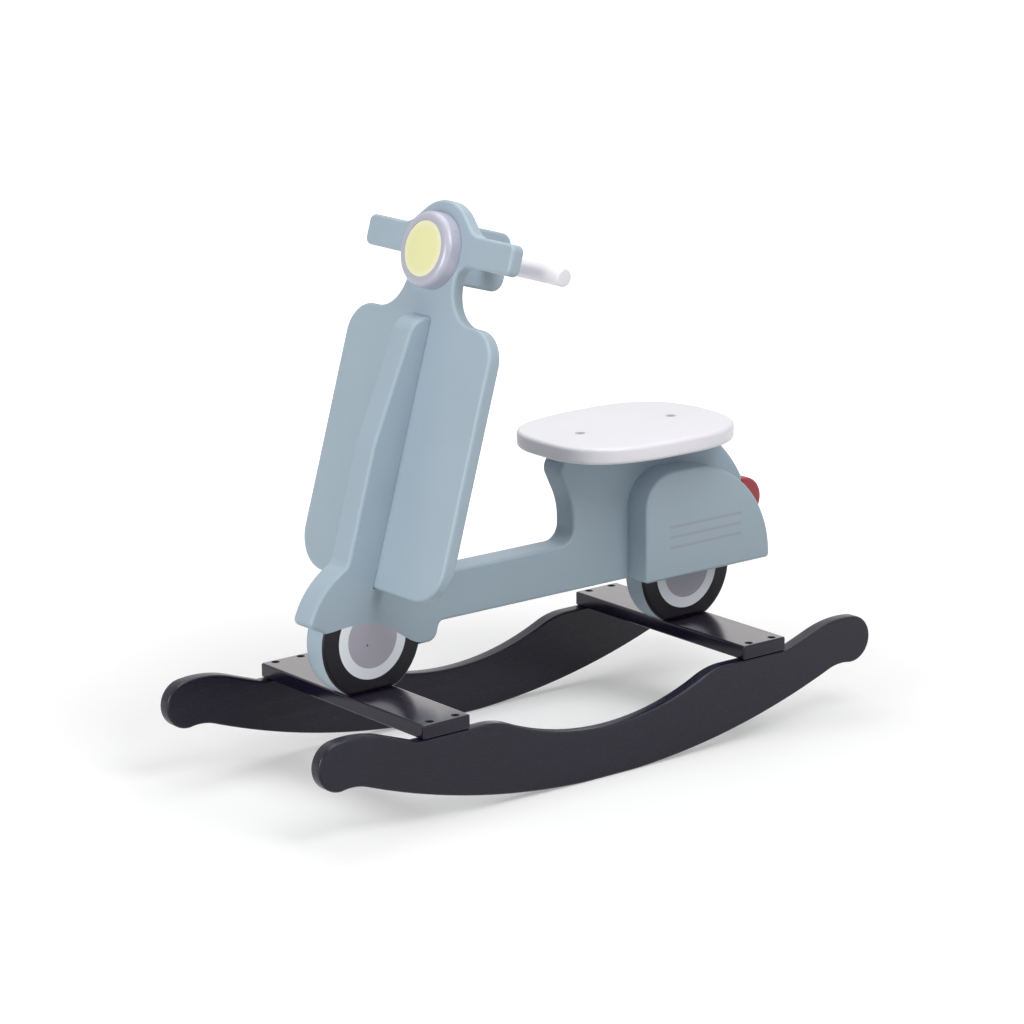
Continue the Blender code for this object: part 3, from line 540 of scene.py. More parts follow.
def centre_board_outline():
    """The front wheel's rim, mudguard, keel, notch, beam, post, tail and rear wheel, back to the front."""
    upper, down_upper = fender_tangent(FENDER_TOP_ANGLE)
    nose, down_nose = fender_tangent(FENDER_NOSE_ANGLE)
    front_rim = wheel_arc(WHEEL_X, 0, LIP_HEIGHT, 1)
    along_lip = (math.cos(LIP_SLOPE), math.sin(LIP_SLOPE))
    notch_back = leaning(-BOARD - GAP, -GAP)
    corners = front_rim + [
        (*lines_meet(nose, down_nose, front_rim[-1][:2], along_lip), 0.008),
        (*lines_meet(upper, down_upper, nose, down_nose), FENDER_RADIUS),
        (*lines_meet(upper, down_upper, leaning(KEEL_DEPTH, 0), keel_up), 0.018),
        (*leaning(KEEL_DEPTH, KEEL_BEND), 0.100),
        (*leaning(KEEL_TOP_DEPTH, SHOULDER), 0.026),
        (*leaning(GAP, SHOULDER), 0),
        (*leaning(GAP, -GAP), 0),
        (*notch_back, 0),
        (*lines_meet(notch_back, keel_up, (0, BEAM_TOP), (1, 0)), 0),
        (POST_X, BEAM_TOP, 0.020),
        (POST_X, POST_BEND, 0.088),
        (POST_TOP_X, SEAT_BASE, 0.018),
        (TAIL_TOP_X, SEAT_BASE, 0),
        (*TAIL_SLOPE, 0.190),
        (TAIL_X, TAIL_LEDGE, 0),
        (TAIL_X, BEAM_BOTTOM, 0.005),
    ]
    corners += wheel_arc(-WHEEL_X, BEAM_BOTTOM, 0, -1) + wheel_arc(-WHEEL_X, 0, BEAM_BOTTOM, 1)
    corners += [(LOBE_BACK - LOBE_RAKE, BEAM_BOTTOM, 0.008), (LOBE_BACK, LOBE_BOTTOM, 0.014)]
    return rounded(corners + wheel_arc(WHEEL_X, LOBE_BOTTOM, 0, -1))


print("centre board outline", len(centre_board_outline()), "points")

# %% [markdown]
# ## Dowels
# The cowls and the tail light have no screws that show, so they sit on hidden dowels. A dowel hole is a
# cylinder a gap wider than the dowel and a gap deeper.

# %% Dowel holes
COWL_DOWELS = [(POST_X - 0.132, 0.150), (TAIL_X + 0.052, 0.112)]
COWL_DOWEL_RADIUS, COWL_DOWEL_DEPTH = 0.005, 0.015
LIGHT_HEIGHT, LIGHT_DOWEL_RADIUS, LIGHT_DOWEL_DEPTH = 0.1385, 0.004, 0.014


def round_hole(radius, half_length, place, sides=32):
    """A cylinder about the dowel's middle, a gap wider and a gap longer at both ends."""
    r, h = radius + GAP, half_length + GAP
    return turned([(0, h), (r, h), (r, -h), (0, -h)], place, sides)


def cowl_dowel_holes():
    """Across the toy, through the centre board and into both cowls."""
    half = THICK_BOARD / 2 + GAP + COWL_DOWEL_DEPTH
    places = [pointing((0, 1, 0), (MIDDLE_X + x, 0, BODY_BASE + z)) for x, z in COWL_DOWELS]
    return [round_hole(COWL_DOWEL_RADIUS, half, place) for place in places]


def tail_dowel_hole():
    """Along the toy, half in the centre board and half in the tail light."""
    place = pointing((1, 0, 0), (MIDDLE_X + TAIL_X - GAP / 2, 0, BODY_BASE + LIGHT_HEIGHT))
    return round_hole(LIGHT_DOWEL_RADIUS, LIGHT_DOWEL_DEPTH, place)


# %% [markdown]
# ## Cutting and drilling the centre board
# The seat's, the keel's and the wheels' screws all end in this board. The three sides of its notch lie
# against the leg shield, so their edges stay sharp and the joint shows as a fine line.

# %% Centre board
BODY_EDGE, SEAT_BOARD, SEAT_X = 0.004, 0.021, POST_X - 0.122
seat_top = SEAT_BASE + GAP + SEAT_BOARD
seat_screws, keel_screws = {}, {}
for spot, x in (("front", 0.097), ("rear", -0.051)):
    place = pointing((0, 0, 1), (MIDDLE_X + SEAT_X + x, 0, BODY_BASE + seat_top - SINK))
    seat_screws[f"seat_screw_{spot}"] = (place, LONG_SCREW, SEAT_SCREW_HEAD)
for spot, up in (("lower", 0.060), ("middle", 0.165), ("upper", 0.270)):
    place = pointing(-shield_out, on_shield(0, up, SINK - BOARD))
    keel_screws[f"keel_screw_{spot}"] = (place, SHORT_SCREW, SCREW_HEAD)
notch = [(leaning(GAP, 0), keel_up), (leaning(0, -GAP), keel_out), (leaning(-BOARD - GAP, 0), keel_up)]
centre = board(centre_board_outline(), THICK_BOARD, BODY_EDGE, upright(0), notch)
cutters = holes(seat_screws) + holes(wheel_screws) + holes(keel_screws)
cutters += cowl_dowel_holes() + [tail_dowel_hole()]
stands_for(drill(centre, cutters), "centre_board", "blue_paint")

# %% [markdown]
# ## Leg shield
# The leg shield is a board too: a tall body with round shoulders, a neck, two short arms and a round head.
# Half of its outline is drawn and mirrored. The head's round top is the rounded corner of two slopes.

# %% Leg shield
SHIELD_SIDE, NECK_SIDE, HEAD_Z, HEAD_RADIUS = 0.140, 0.045, 0.409, 0.060
ARM_BOTTOM, ARM_TOP, HEAD_SLOPE = 0.397, 0.4345, math.radians(50)


def shield_outline():
    """The apex of the slopes lies radius / sin(slope) above the head's middle, which puts its arc's centre
    there."""
    apex = HEAD_Z + HEAD_RADIUS / math.sin(HEAD_SLOPE)
    left = [
        (SHIELD_SIDE, 0, 0.048),
        (SHIELD_SIDE, SHOULDER, 0.040),
        (NECK_SIDE, SHOULDER, 0.0475),
        (NECK_SIDE, ARM_BOTTOM, 0.020),
        (SHIELD_SIDE, ARM_BOTTOM, 0.009),
        (SHIELD_SIDE, ARM_TOP, 0.009),
        ((apex - ARM_TOP) * math.tan(HEAD_SLOPE), ARM_TOP, 0.030),
    ]
    right = [(-x, y, r) for x, y, r in left[::-1]]
    return rounded(left + [(0, apex, HEAD_RADIUS)] + right)


LAMP_Z, LAMP_DEPTH, LENS_RECESS, BLOCK_SCREW_STEP = 0.407, 0.0205, 0.003, 0.024
lamp_floor = GAP + LAMP_DEPTH - LENS_RECESS
place = pointing(shield_out, on_shield(0, LAMP_Z, lamp_floor - SINK))
lamp_screws = {"headlight_screw": (place, LAMP_SCREW, SCREW_HEAD)}
block_screws = {}
for spot, step in (("lower", -BLOCK_SCREW_STEP), ("upper", BLOCK_SCREW_STEP)):
    place = pointing(shield_out, on_shield(0, HEAD_Z + step, -SINK))
    block_screws[f"block_screw_{spot}"] = (place, LONG_SCREW, SCREW_HEAD)
place = placement((0, 1, 0), shield_up, shield_out, on_shield(0, 0, -BOARD / 2))
shield = board(shield_outline(), BOARD, BODY_EDGE, place)
cutters = holes(keel_screws) + holes(block_screws) + holes(lamp_screws)
stands_for(drill(shield, cutters), "leg_shield", "blue_paint")

# %% [markdown]
# ## Handle
# Behind the head a thick block carries a round handle, which is pushed through a bore. The block is a board
# whose front side lies flush on the shield, and the handle is turned and rounded at both ends.

# %% Handle block and round handle
BLOCK_BOTTOM, BLOCK_TOP, BLOCK_LENGTH, BLOCK_CORNER = 0.373, 0.4445, 0.080, 0.016
ROD_RADIUS, ROD_HALF, ROD_BEHIND, ROD_ROUNDING, BORE_HALF = 0.011, 0.158, 0.070, 0.003, 0.030
block_front = -BOARD - GAP
block_back = block_front - BLOCK_LENGTH
corners = [(block_front, BLOCK_BOTTOM, 0), (block_front, BLOCK_TOP, 0)]
corners += [(block_back, BLOCK_TOP, BLOCK_CORNER), (block_back, BLOCK_BOTTOM, BLOCK_CORNER)]
place = placement(shield_out, shield_up, (0, -1, 0), shield_foot)
flush = [((block_front, 0), (0, 1))]
block = board(rounded(corners), THICK_BOARD, BODY_EDGE, place, flush)
across = pointing((0, 1, 0), on_shield(0, HEAD_Z, -ROD_BEHIND))
rod_profile = [(0, ROD_HALF)] + rounding_arc(ROD_RADIUS, ROD_HALF, ROD_ROUNDING)
rod_profile += [(r, -h) for r, h in reversed(rod_profile)]
cutters = [round_hole(ROD_RADIUS, BORE_HALF, across, sides=96)] + holes(block_screws)
stands_for(drill(block, cutters), "handle_block", "blue_paint")
stands_for(turned(rod_profile, across, sides=96), "handle_rod", "white_paint")

# %% [markdown]
# ## Lamp
# The lamp is a turned wooden disc with a widely rounded rim. A thin yellow disc lies flush in a recess in
# its middle and hides the screw. Both are short profiles on the same axis, turned in many steps, because
# their round edges show.

# %% Lamp
LAMP_BASE_RADIUS, LAMP_FRONT_RADIUS, LAMP_ROUNDING = 0.0465, 0.0460, 0.0085
LAMP_WALL, LAMP_TAPER = 0.004, 0.0001
LENS_RADIUS, LENS_THICKNESS, LENS_ROUNDING = 0.034, 0.0027, 0.001
lamp_place = pointing(shield_out, on_shield(0, LAMP_Z, 0))
lamp_front, recess = GAP + LAMP_DEPTH, LENS_RADIUS + GAP
profile = [(0, lamp_floor), (recess, lamp_floor), (recess, lamp_front - GAP), (recess + GAP, lamp_front)]
profile += rounding_arc(LAMP_FRONT_RADIUS, lamp_front, LAMP_ROUNDING, 12)
profile += [(LAMP_BASE_RADIUS - LAMP_TAPER, GAP + LAMP_WALL), (LAMP_BASE_RADIUS, GAP), (0, GAP)]
lamp = turned(profile, lamp_place, sides=160)
lens_foot = lamp_floor + GAP
lens_top = lens_foot + LENS_THICKNESS
profile = [(0, lens_top)] + rounding_arc(LENS_RADIUS, lens_top, LENS_ROUNDING)
profile += [(LENS_RADIUS, lens_foot), (0, lens_foot)]
lens = turned(profile, lamp_place, sides=160)
stands_for(drill(lamp, holes(lamp_screws)), "headlight_body", "silver_paint")
stands_for(lens, "headlight_lens", "yellow_paint")

# %% [markdown]
# ## Seat
# The seat is a level board. Its outline is two half superellipses that share their widest line,
# |x / a|^n + |y / b|^n = 1, with a longer and squarer front half. A formula like that gives the full, even
# curve that a seat is sanded to, which arcs and straight lines would not.

# %% Seat
SEAT_FRONT, SEAT_FRONT_POWER, SEAT_BACK, SEAT_BACK_POWER = 0.160, 2.9, 0.1145, 2.45
SEAT_HALF_WIDTH, SEAT_EDGE, SEAT_POINTS = 0.106, 0.005, 480


def seat_outline(points):
    """x = a * sgn(cos t) |cos t|^(2/n) and y = b * sgn(sin t) |sin t|^(2/n), with a and n of each half."""
    t = np.linspace(0, math.tau, points, endpoint=False)
    c, s = np.cos(t), np.sin(t)
    reach = np.where(c > 0, SEAT_FRONT, SEAT_BACK)
    power = np.where(c > 0, SEAT_FRONT_POWER, SEAT_BACK_POWER)
    x = SEAT_X + reach * np.sign(c) * np.abs(c) ** (2 / power)
    y = SEAT_HALF_WIDTH * np.sign(s) * np.abs(s) ** (2 / power)
    return np.stack([x, y], axis=1)


def evenly(outline, count):
    """The same closed outline with its points at equal steps along its length."""
    closed = np.concatenate([outline, outline[:1]])
    along = np.concatenate([[0], np.cumsum(np.hypot(*np.diff(closed, axis=0).T))])
    at = np.linspace(0, along[-1], count, endpoint=False)
    return np.stack([np.interp(at, along, closed[:, 0]), np.interp(at, along, closed[:, 1])], axis=1)


place = lying(BODY_BASE + seat_top - SEAT_BOARD / 2)
seat = board(evenly(seat_outline(4000), SEAT_POINTS), SEAT_BOARD, SEAT_EDGE, place)
stands_for(drill(seat, holes(seat_screws)), "seat_board", "white_paint")

# %% [markdown]
# ## Cowls and tail light
# Two thick boards make the rear body wider, one on each side, and a half-round red block is the tail light.
# The cowls' inner rims and the light's flat side lie against the centre board and keep their sharp edges.

# %% Cowls and tail light
COWL_FRONT, COWL_BACK, COWL_TOP = POST_X - 0.088, TAIL_X - 0.015, 0.206
LIGHT_RADIUS, LIGHT_STRAIGHT, LIGHT_EDGE = 0.0275, 0.0055, 0.005
cowl_corners = [(COWL_FRONT, BEAM_BOTTOM, 0.005), (COWL_FRONT, COWL_TOP, 0.045)]
cowl_corners += [(COWL_BACK, COWL_TOP, 0.133), (COWL_BACK, BEAM_BOTTOM, 0.005)]
for side, sign in (("left", 1), ("right", -1)):
    place = upright(sign * (THICK_BOARD + GAP))
    cowl = board(rounded(cowl_corners), THICK_BOARD, BODY_EDGE, place, bare=sign)
    stands_for(drill(cowl, cowl_dowel_holes()), f"cowl_{side}", "blue_paint")

face = TAIL_X - GAP
light_arc = arc((face - LIGHT_STRAIGHT, LIGHT_HEIGHT), LIGHT_RADIUS, math.pi / 2, 3 * math.pi / 2)
upper_end, lower_end = [[face, LIGHT_HEIGHT + LIGHT_RADIUS]], [[face, LIGHT_HEIGHT - LIGHT_RADIUS]]
outline = np.concatenate([upper_end, light_arc, lower_end])
flush = [((face, 0), (0, 1))]
tail_light = board(outline, THICK_BOARD, LIGHT_EDGE, upright(0), flush)
stands_for(drill(tail_light, [tail_dowel_hole()]), "tail_light", "red_paint")

# %% [markdown]
# ## The screws in their holes
# Every screw goes where its hole was cut. Those under the wheels, behind the lens and in the boards hardly
# show, but they are real pieces of the toy, so they are turned like the ones that do.

# %% All the screws
for screws in (runner_screws, wheel_screws, block_screws, seat_screws, keel_screws, lamp_screws):
    for cad_node, size in screws.items():
        stands_for(screw(*size), cad_node, "zinc_steel")
print("pieces", len(finished), "of", len(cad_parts), "CAD nodes")

# %% [markdown]
# ## Paints
# The toy looks sprayed with satin paint over sanded board. Such paint has one colour that clouds slightly,
# a faint trace of the grain under it, and a gloss that changes a little from place to place. A noise
# stretched along the grain gives the trace, through a Bump node, and a broad noise gives the clouds. Small
# helpers for nodes keep each mask and paint as short as its formula.

# %% Node helpers
TAPE_BLUR = 0.00025


def node(tree, kind, values=(), links=(), **settings):
    """A shader node with its settings, plain input values and links, given by input name or number."""
    made = tree.nodes.new("ShaderNode" + kind)
    for name, value in settings.items():
        setattr(made, name, value)
    for name, value in dict(values).items():
        made.inputs[name].default_value = value
    for name, source in dict(links).items():
        tree.links.new(source, made.inputs[name])
    return made


def maths(tree, operation, *terms):
    """A Math node whose terms are sockets or plain numbers."""
    made = node(tree, "Math", operation=operation)
    for index, term in enumerate(terms):
        if isinstance(term, bpy.types.NodeSocket):
            tree.links.new(term, made.inputs[index])
        else:
            made.inputs[index].default_value = term
    return made.outputs[0]


def ramp(tree, value, low, high, at_low=0.0, at_high=1.0):
    """A straight change from at_low to at_high while the value goes from low to high, level outside."""
    limits = {"From Min": low, "From Max": high, "To Min": at_low, "To Max": at_high}
    return node(tree, "MapRange", limits, {"Value": value}).outputs["Result"]


def under(tree, value, limit, blur=TAPE_BLUR):
    """1 where the value is under the limit and 0 over it, like the edge of a masking tape."""
    return ramp(tree, maths(tree, "SUBTRACT", value, limit), -blur, blur, 1.0, 0.0)


def over(tree, value, limit, blur=TAPE_BLUR):
    """The opposite: 1 - under."""
    return maths(tree, "SUBTRACT", 1.0, under(tree, value, limit, blur))


def product(tree, mask, *others):
    """The masks multiplied, which is 1 where all of them are 1."""
    for other in others:
        mask = maths(tree, "MULTIPLY", mask, other)
    return mask


def distance(tree, along, across):
    """sqrt(along^2 + across^2)."""
    squares = [product(tree, part, part) for part in (along, across)]
    return maths(tree, "SQRT", maths(tree, "ADD", *squares))


# %% Satin paint
CLOUD_SCALE, GRAIN_SCALE, GRAIN_DEPTH, GLOSS_CHANGE = 9.0, 140.0, 0.0004, 0.04
NOISE_LOW, NOISE_HIGH = 0.3, 0.7


def clouded(tree, broad, colour, clouds):
    """colour * (1 - clouds) where the broad noise is low and colour * (1 + clouds) where it is high."""
    dark = (*(c * (1 - clouds) for c in colour), 1.0)
    light = (*(min(c * (1 + clouds), 1.0) for c in colour), 1.0)
    return node(tree, "Mix", {"A": dark, "B": light}, {"Factor": broad}, data_type="RGBA").outputs["Result"]


def satin(
    name, colour, roughness, grain=(1, 1, 1), clouds=0.05, trace=0.1, streaks=0.06,
    layers=(), coat=None, **sockets,
):
    """Clouded colour, then each layer's colour where its mask is 1. The roughness follows both noises, and
    the grain's noise is the bump. coat is a mask for clear lacquer. Other sockets are set by name."""
    material = bpy.data.materials.new(name)
    material.use_nodes = True
    tree = material.node_tree
    shader = tree.nodes["Principled BSDF"]
    for socket, value in sockets.items():
        shader.inputs[socket.replace("_", " ")].default_value = value
    place = node(tree, "TexCoord").outputs["Object"]
    broad = node(tree, "TexNoise", {"Scale": CLOUD_SCALE, "Detail": 3.0}, {"Vector": place}).outputs["Fac"]
    stretched = node(tree, "Mapping", {"Scale": grain}, {"Vector": place}).outputs["Vector"]
    fine_noise = {"Scale": GRAIN_SCALE, "Detail": 4.0, "Roughness": 0.6}
    fine = node(tree, "TexNoise", fine_noise, {"Vector": stretched}).outputs["Fac"]
    shade = clouded(tree, broad, colour, clouds)
    for mask, second in layers:
        links = {"Factor": mask(tree, place), "A": shade, "B": clouded(tree, broad, second, clouds)}
        shade = node(tree, "Mix", {}, links, data_type="RGBA").outputs["Result"]
    tree.links.new(shade, shader.inputs["Base Color"])
    clouding = ramp(tree, broad, NOISE_LOW, NOISE_HIGH, roughness - GLOSS_CHANGE, roughness + GLOSS_CHANGE)
    streaking = ramp(tree, fine, NOISE_LOW, NOISE_HIGH, -streaks, streaks)
    tree.links.new(maths(tree, "ADD", clouding, streaking), shader.inputs["Roughness"])
    bump = node(tree, "Bump", {"Strength": trace, "Distance": GRAIN_DEPTH}, {"Height": fine})
    tree.links.new(bump.outputs["Normal"], shader.inputs["Normal"])
    if coat:
        tree.links.new(coat(tree, place), shader.inputs["Coat Weight"])
    return material


# %% [markdown]
# ## Painted wheels
# The wheels are not separate pieces: they are painted on the centre board, a white ring around a grey hub
# and black outside it. Each mask is a formula in the piece's own coordinates, like a stencil held against
# the board. The masks start from two measures: where a point lies on the board, and how far it is from a
# wheel's centre.

# %% Measures on the centre board
RING_HEIGHT, REAR_RING_DROP = 0.0645, 0.002


def board_place(tree, place):
    """Distance forwards from the toy's middle, distance from its middle plane and height above the cross
    boards."""
    axes = node(tree, "SeparateXYZ", {}, {"Vector": place}).outputs
    forwards = maths(tree, "SUBTRACT", axes["X"], MIDDLE_X)
    return forwards, maths(tree, "ABSOLUTE", axes["Y"]), maths(tree, "SUBTRACT", axes["Z"], BODY_BASE)


def from_wheel(tree, place):
    """Distance in the board's plane from the nearer wheel's centre: sqrt((|x| - wheel x)^2 +
    (z - height)^2). The rear ring is painted a little lower than the front one."""
    forwards, _, height = board_place(tree, place)
    along = maths(tree, "SUBTRACT", maths(tree, "ABSOLUTE", forwards), WHEEL_X)
    middle = ramp(tree, forwards, -0.01, 0.01, RING_HEIGHT - REAR_RING_DROP, RING_HEIGHT)
    return distance(tree, along, maths(tree, "SUBTRACT", height, middle))


# %% [markdown]
# ## Where the wheels' paint ends
# The black starts on the rounded edge, so the tread stays blue, and it ends under the mudguard's line. That
# line is a soft curve through a few places, in millimetres, that a Float Curve node joins.

# %% Masks for the wheels
HUB_RADIUS, RING_RADIUS = 0.036, 0.0495
MUDGUARD_LINE = [(162, 45), (174, 46), (188, 51), (198, 57), (207, 63), (222, 73), (237, 81), (251, 85)]
MUDGUARD_LINE += [(281, 86), (296, 85), (306, 84)]
LINE_START, LINE_END, LINE_TOP = 150, 330, 100
LINE_START_HEIGHT, LINE_END_HEIGHT = 45, 84
PAINT_REACH, PAINTED_FROM, HIDDEN_BLUR, EDGE_BLUR = 0.090, 0.0148, 0.001, 0.0003
# A small dark dot painted on the front wheel's hub
DARK_DOT_X, DARK_DOT_HEIGHT, DARK_DOT_RADIUS, DARK_DOT_BLUR = 0.2559, 0.0581, 0.0013, 0.0004


def wheel_mask(tree, place):
    """Under the mudguard's line in front and under the beam behind, on the faces and their rounded edges."""
    forwards, aside, height = board_place(tree, place)
    along = ramp(tree, forwards, LINE_START / 1000, LINE_END / 1000)
    curve = node(tree, "FloatCurve", {}, {"Value": along})
    points = curve.mapping.curves[0].points
    for x, z in MUDGUARD_LINE:
        points.new((x - LINE_START) / (LINE_END - LINE_START), z / LINE_TOP)
    points[0].location = (0, LINE_START_HEIGHT / LINE_TOP)
    points[-1].location = (1, LINE_END_HEIGHT / LINE_TOP)
    curve.mapping.update()
    line = product(tree, curve.outputs[0], LINE_TOP / 1000)
    rear_rise = BEAM_BOTTOM - LINE_START_HEIGHT / 1000
    limit = maths(tree, "ADD", product(tree, under(tree, forwards, 0.0, HIDDEN_BLUR), rear_rise), line)
    near = under(tree, from_wheel(tree, place), PAINT_REACH, HIDDEN_BLUR)
    return product(tree, under(tree, height, limit), near, over(tree, aside, PAINTED_FROM, EDGE_BLUR))


def disc_mask(radius):
    """A mask for the painted wheels inside the radius: wheel mask * (distance under the radius)."""

    def mask(tree, place):
        return product(tree, wheel_mask(tree, place), under(tree, from_wheel(tree, place), radius))

    return mask


ring_mask, hub_mask = disc_mask(RING_RADIUS), disc_mask(HUB_RADIUS)


def dark_dot_mask(tree, place):
    """A small dark dot on the front wheel's hub, ahead of its middle and below it: a disc by distance."""
    forwards, _, height = board_place(tree, place)
    along, rise = maths(tree, "SUBTRACT", forwards, DARK_DOT_X), maths(tree, "SUBTRACT", height, DARK_DOT_HEIGHT)
    inside = under(tree, distance(tree, along, rise), DARK_DOT_RADIUS, DARK_DOT_BLUR)
    return product(tree, hub_mask(tree, place), inside)


# %% [markdown]
# ## Stripes on the cowls
# Three thin grey lines decorate each cowl. They look printed, with slightly soft edges. A line is where the
# height differs from the line's own by less than half its width, so they cost no mesh at all.

# %% Mask for the stripes
STRIPE_HEIGHTS, STRIPE_START, STRIPE_END = (0.1078, 0.1212, 0.1345), -0.189, -0.3085
STRIPE_WIDTH, STRIPE_BLUR = 0.0030, 0.0014
COWL_FACE = 1.5 * THICK_BOARD + GAP - 0.0008


def stripe_mask(tree, place):
    """Three thin bands on the cowls' outer faces, inside the stripes' start and end."""
    forwards, aside, height = board_place(tree, place)
    middle = maths(tree, "SUBTRACT", forwards, (STRIPE_START + STRIPE_END) / 2)
    inside = under(tree, maths(tree, "ABSOLUTE", middle), (STRIPE_START - STRIPE_END) / 2)
    total = 0.0
    for level in STRIPE_HEIGHTS:
        off = maths(tree, "ABSOLUTE", maths(tree, "SUBTRACT", height, level))
        total = maths(tree, "ADD", total, under(tree, off, STRIPE_WIDTH / 2, STRIPE_BLUR))
    return product(tree, total, inside, over(tree, aside, COWL_FACE))


# %% [markdown]
# ## The lamp's disc
# The yellow disc is paler towards its rim: a painted highlight where its rounded edge catches the light. Its
# mask uses the distance from the lamp's axis, measured along the leaning board's own two directions: across
# it and up along it.

# %% Mask for the lamp's disc
# Where the painted highlight on the yellow disc's rim starts and where it is full
RIM_HIGHLIGHT_START, RIM_HIGHLIGHT_END = 0.025, 0.033


def painted_rim_highlight_mask(tree, place):
    """Painted highlight, 0 in the disc's middle and 1 at its rim, by the distance from the lamp's axis."""
    centre = on_shield(0, LAMP_Z, 0)
    offset = node(tree, "VectorMath", {1: centre}, {0: place}, operation="SUBTRACT").outputs[0]
    parts = []
    for direction in ((0, 1, 0), shield_up):
        dot = node(tree, "VectorMath", {1: direction}, {0: offset}, operation="DOT_PRODUCT")
        parts.append(dot.outputs["Value"])
    return ramp(tree, distance(tree, *parts), RIM_HIGHLIGHT_START, RIM_HIGHLIGHT_END)


# %% [markdown]
# ## Glossier level tops
# The cross boards' tops mirror the wheels and the room, and their sides don't. Lacquer that dries on a level
# face flows out smooth, so a mask by height puts a clear coat on the tops alone.

# %% Mask for level tops
COAT_START, COAT_FULL = CROSS_BOARD_TOP - 0.0006, CROSS_BOARD_TOP - 0.0001


def level_top_mask(tree, place):
    """1 on the cross boards' tops and 0 from just under them."""
    height = node(tree, "SeparateXYZ", {}, {"Vector": place}).outputs["Z"]
    return ramp(tree, height, COAT_START, COAT_FULL)


# %% [markdown]
# ## The colours
# Blue for the body, black for what carries it, white for the seat and the handle, and small touches of
# silver, yellow and red. Every paint is the same satin recipe with its own colour and gloss, so that they
# belong together. The dowels can't be seen: they keep the CAD model's shape and are bare beech.

# %% Paint every piece
BLUE, WHITE, BLACK = (0.36, 0.45, 0.52), (0.84, 0.825, 0.87), (0.007, 0.005, 0.016)
upright_grain, long_grain, cross_grain = (1, 1, 0.06), (0.05, 1, 1), (1, 0.05, 1)
wheels = [(wheel_mask, (0.0015, 0.0004, 0.004)), (ring_mask, (0.88, 0.91, 0.98))]
wheels += [(hub_mask, (0.43, 0.42, 0.49)), (dark_dot_mask, (0.05, 0.05, 0.06))]
stripes = [(stripe_mask, (0.33, 0.35, 0.415))]
blue = satin("blue satin paint", BLUE, 0.38, upright_grain)
blue_wheels = satin("blue satin paint with wheels", BLUE, 0.38, upright_grain, layers=wheels, IOR=1.36)
blue_stripes = satin("blue satin paint with stripes", BLUE, 0.38, upright_grain, layers=stripes)
black = satin("black satin paint", BLACK, 0.28, long_grain, 0.15, 0.15, 0.08, IOR=1.4)
gloss = {"coat": level_top_mask, "Coat_Roughness": 0.17, "Coat_IOR": 1.6, "IOR": 1.4}
gloss["Coat_Tint"] = (1.0, 0.94, 0.95, 1.0)
black_cross = satin("black paint on the cross boards", BLACK, 0.2, cross_grain, 0.15, 0.12, 0.07, **gloss)
white = satin("white satin paint", WHITE, 0.35, long_grain)
silver_look = {"clouds": 0.03, "trace": 0.02, "streaks": 0.01, "Metallic": 0.1}
silver = satin("silver lacquer", (0.46, 0.46, 0.55), 0.3, **silver_look)
# The yellow disc's paler rim colour is a painted highlight.
yellow = satin("yellow satin paint", (0.83, 0.82, 0.43), 0.4, layers=[(painted_rim_highlight_mask, (0.86, 0.86, 0.6))])
red = satin("red satin paint", (0.335, 0.022, 0.034), 0.32)
steel = satin("blackened steel", (0.010, 0.009, 0.011), 0.6, trace=0.02, IOR=1.12)
seat_steel = satin("dull zinc", (0.40, 0.40, 0.41), 0.35, trace=0.02, Metallic=1.0)
beech = satin("bare beech", (0.62, 0.43, 0.26), 0.6, cross_grain, 0.1, 0.3)
paints = {"blue_paint": blue, "black_paint": black, "white_paint": white, "silver_paint": silver}
paints |= {"yellow_paint": yellow, "red_paint": red, "zinc_steel": steel}
own_paints = {"centre_board": blue_wheels, "cowl_left": blue_stripes, "cowl_right": blue_stripes}
own_paints |= {"cross_board_front": black_cross, "cross_board_rear": black_cross}
own_paints |= {"seat_screw_front": seat_steel, "seat_screw_rear": seat_steel}
for cad_node, piece in finished.items():
    piece.data.materials.clear()
    piece.data.materials.append(own_paints.get(cad_node, paints[piece["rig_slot"]]))
for cad_node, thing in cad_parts.items():
    if cad_node not in finished:
        thing.data.materials.clear()
        thing.data.materials.append(beech)
        print("kept from the CAD model:", cad_node)
print("paints", len({piece.data.materials[0].name for piece in finished.values()}))

# %% [markdown]
# ## Floor and surroundings
# The photograph is a plain studio picture on white paper. The floor adds its own white only for the camera
# and for reflections, more of it further out, so the soft shadow stays and no extra light falls on the toy.
# The surroundings look white in the same way, and light the toy with a trace of that white only.

# %% Floor and surroundings
GLOW_NEAR, GLOW_FAR = (0.5, 0.32), (1.6, 1.0)
FILL, FLOOR_LEVEL = 0.05, -0.0002


def seen_directly(tree):
    """1 for camera, glossy and transmission rays, else 0."""
    path = node(tree, "LightPath").outputs
    direct = maths(tree, "MAXIMUM", path["Is Camera Ray"], path["Is Glossy Ray"])
    return maths(tree, "MAXIMUM", direct, path["Is Transmission Ray"])


points = [(x, y, FLOOR_LEVEL) for x, y in ((-20, -20), (20, -20), (20, 20), (-20, 20))]
floor = make_piece(points, [(0, 1, 2, 3)], "studio_floor")
paper = bpy.data.materials.new("white paper")
paper.use_nodes = True
tree = paper.node_tree
shader = tree.nodes["Principled BSDF"]
shader.inputs["Base Color"].default_value = (0.7, 0.7, 0.7, 1)
shader.inputs["Roughness"].default_value = 0.9
shader.inputs["Emission Color"].default_value = (1, 1, 1, 1)
place = node(tree, "TexCoord").outputs["Object"]
away = node(tree, "VectorMath", {}, {0: place}, operation="LENGTH").outputs["Value"]
glow = ramp(tree, away, GLOW_NEAR[0], GLOW_FAR[0], GLOW_NEAR[1], GLOW_FAR[1])
tree.links.new(product(tree, seen_directly(tree), glow), shader.inputs["Emission Strength"])
floor.data.materials.append(paper)

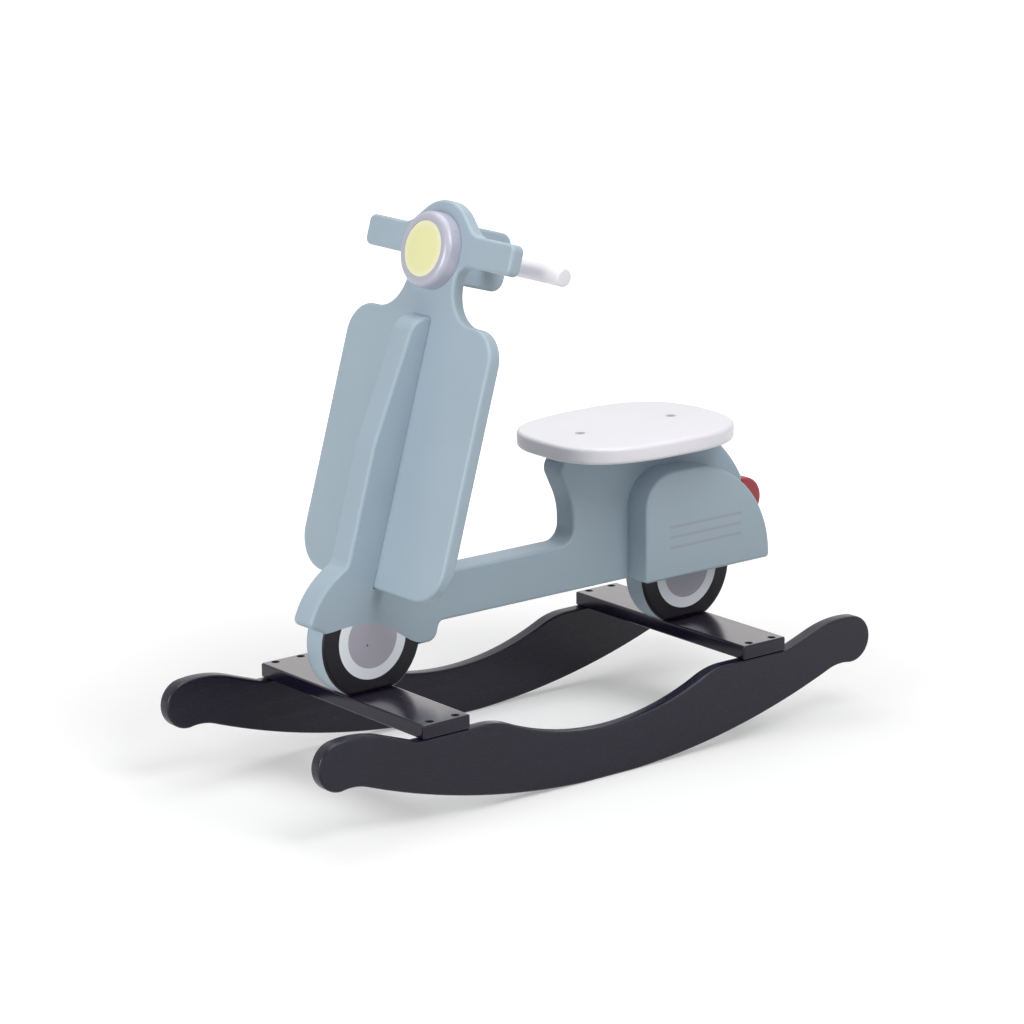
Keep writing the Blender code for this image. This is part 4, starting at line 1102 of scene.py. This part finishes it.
world = bpy.data.worlds.new("studio")
bpy.context.scene.world = world
world.use_nodes = True
tree = world.node_tree
background = tree.nodes["Background"]
background.inputs["Color"].default_value = (1, 1, 1, 1)
tree.links.new(ramp(tree, seen_directly(tree), 0.0, 1.0, FILL, 1.0), background.inputs["Strength"])
print("white floor at", FLOOR_LEVEL, "m and surroundings that give", FILL)

# %% [markdown]
# ## Lamps
# Four soft boxes light the toy: one overhead, one high on the camera's side, one in front of the toy and a
# weaker one at its left side. Wide lamps give the photograph's soft shadow, and their powers are set so that
# the front, the side and the top of each board come out about as bright as they are there.

# %% Lamps
OVERHEAD, KEY, FRONT, SIDE = 36, 27, 36, 21


def soft_box(name, spot, target, size, power):
    """A square area lamp at the spot, turned to face the target."""
    light = bpy.data.lights.new(name, "AREA")
    light.shape, light.size, light.energy = "SQUARE", size, power
    lamp_object = bpy.data.objects.new(name, light)
    bpy.context.scene.collection.objects.link(lamp_object)
    lamp_object.matrix_world = Matrix(pointing(np.subtract(spot, target), spot).tolist())


soft_box("overhead soft box", (-0.3, -0.4, 2.6), (0, 0, 0.2), 2.4, OVERHEAD)
soft_box("high soft box on the camera's side", (0.0, 1.5, 2.3), (0, 0, 0.2), 1.3, KEY)
soft_box("front soft box", (2.6, 0.3, 0.9), (0, 0, 0.3), 1.2, FRONT)
soft_box("side soft box", (-0.7, 3.1, 1.7), (0, 0, 0.3), 1.6, SIDE)

print("lamps", OVERHEAD, KEY, FRONT, SIDE, "W")

# %% [markdown]
# ## Camera
# The picture is taken with a long lens from in front of the toy's left side and from a little above, so
# that far edges hardly shrink. The camera's directions come from its azimuth and elevation, turned by a
# slight roll.

# %% Camera
AZIMUTH, ELEVATION, ROLL = math.radians(141.605), math.radians(14.615), math.radians(-0.44)
CAMERA_FORWARDS, CAMERA_LEFT, CAMERA_ABOVE = 2.8338, 3.5507, 1.3609
FOCAL_LENGTH, SENSOR_WIDTH = 134.37, 36
level = np.array([math.sin(AZIMUTH), -math.cos(AZIMUTH), 0])
back = level * math.cos(ELEVATION) + np.array([0, 0, math.sin(ELEVATION)])
right = np.array([math.cos(AZIMUTH), math.sin(AZIMUTH), 0])
up = np.cross(back, right)
rolled = math.cos(ROLL) * right + math.sin(ROLL) * up, math.cos(ROLL) * up - math.sin(ROLL) * right
camera_spot = (MIDDLE_X + CAMERA_FORWARDS, CAMERA_LEFT, CROSS_BOARD_TOP + CAMERA_ABOVE)
view = placement(*rolled, back, camera_spot)
camera_data = bpy.data.cameras.new("camera")
camera_data.lens, camera_data.sensor_width = FOCAL_LENGTH, SENSOR_WIDTH
camera = bpy.data.objects.new("camera", camera_data)
bpy.context.scene.collection.objects.link(camera)
camera.matrix_world = Matrix(view.tolist())
bpy.context.scene.camera = camera
bpy.context.scene.view_settings.view_transform = "Standard"
print("camera at", [round(v, 3) for v in camera_spot])
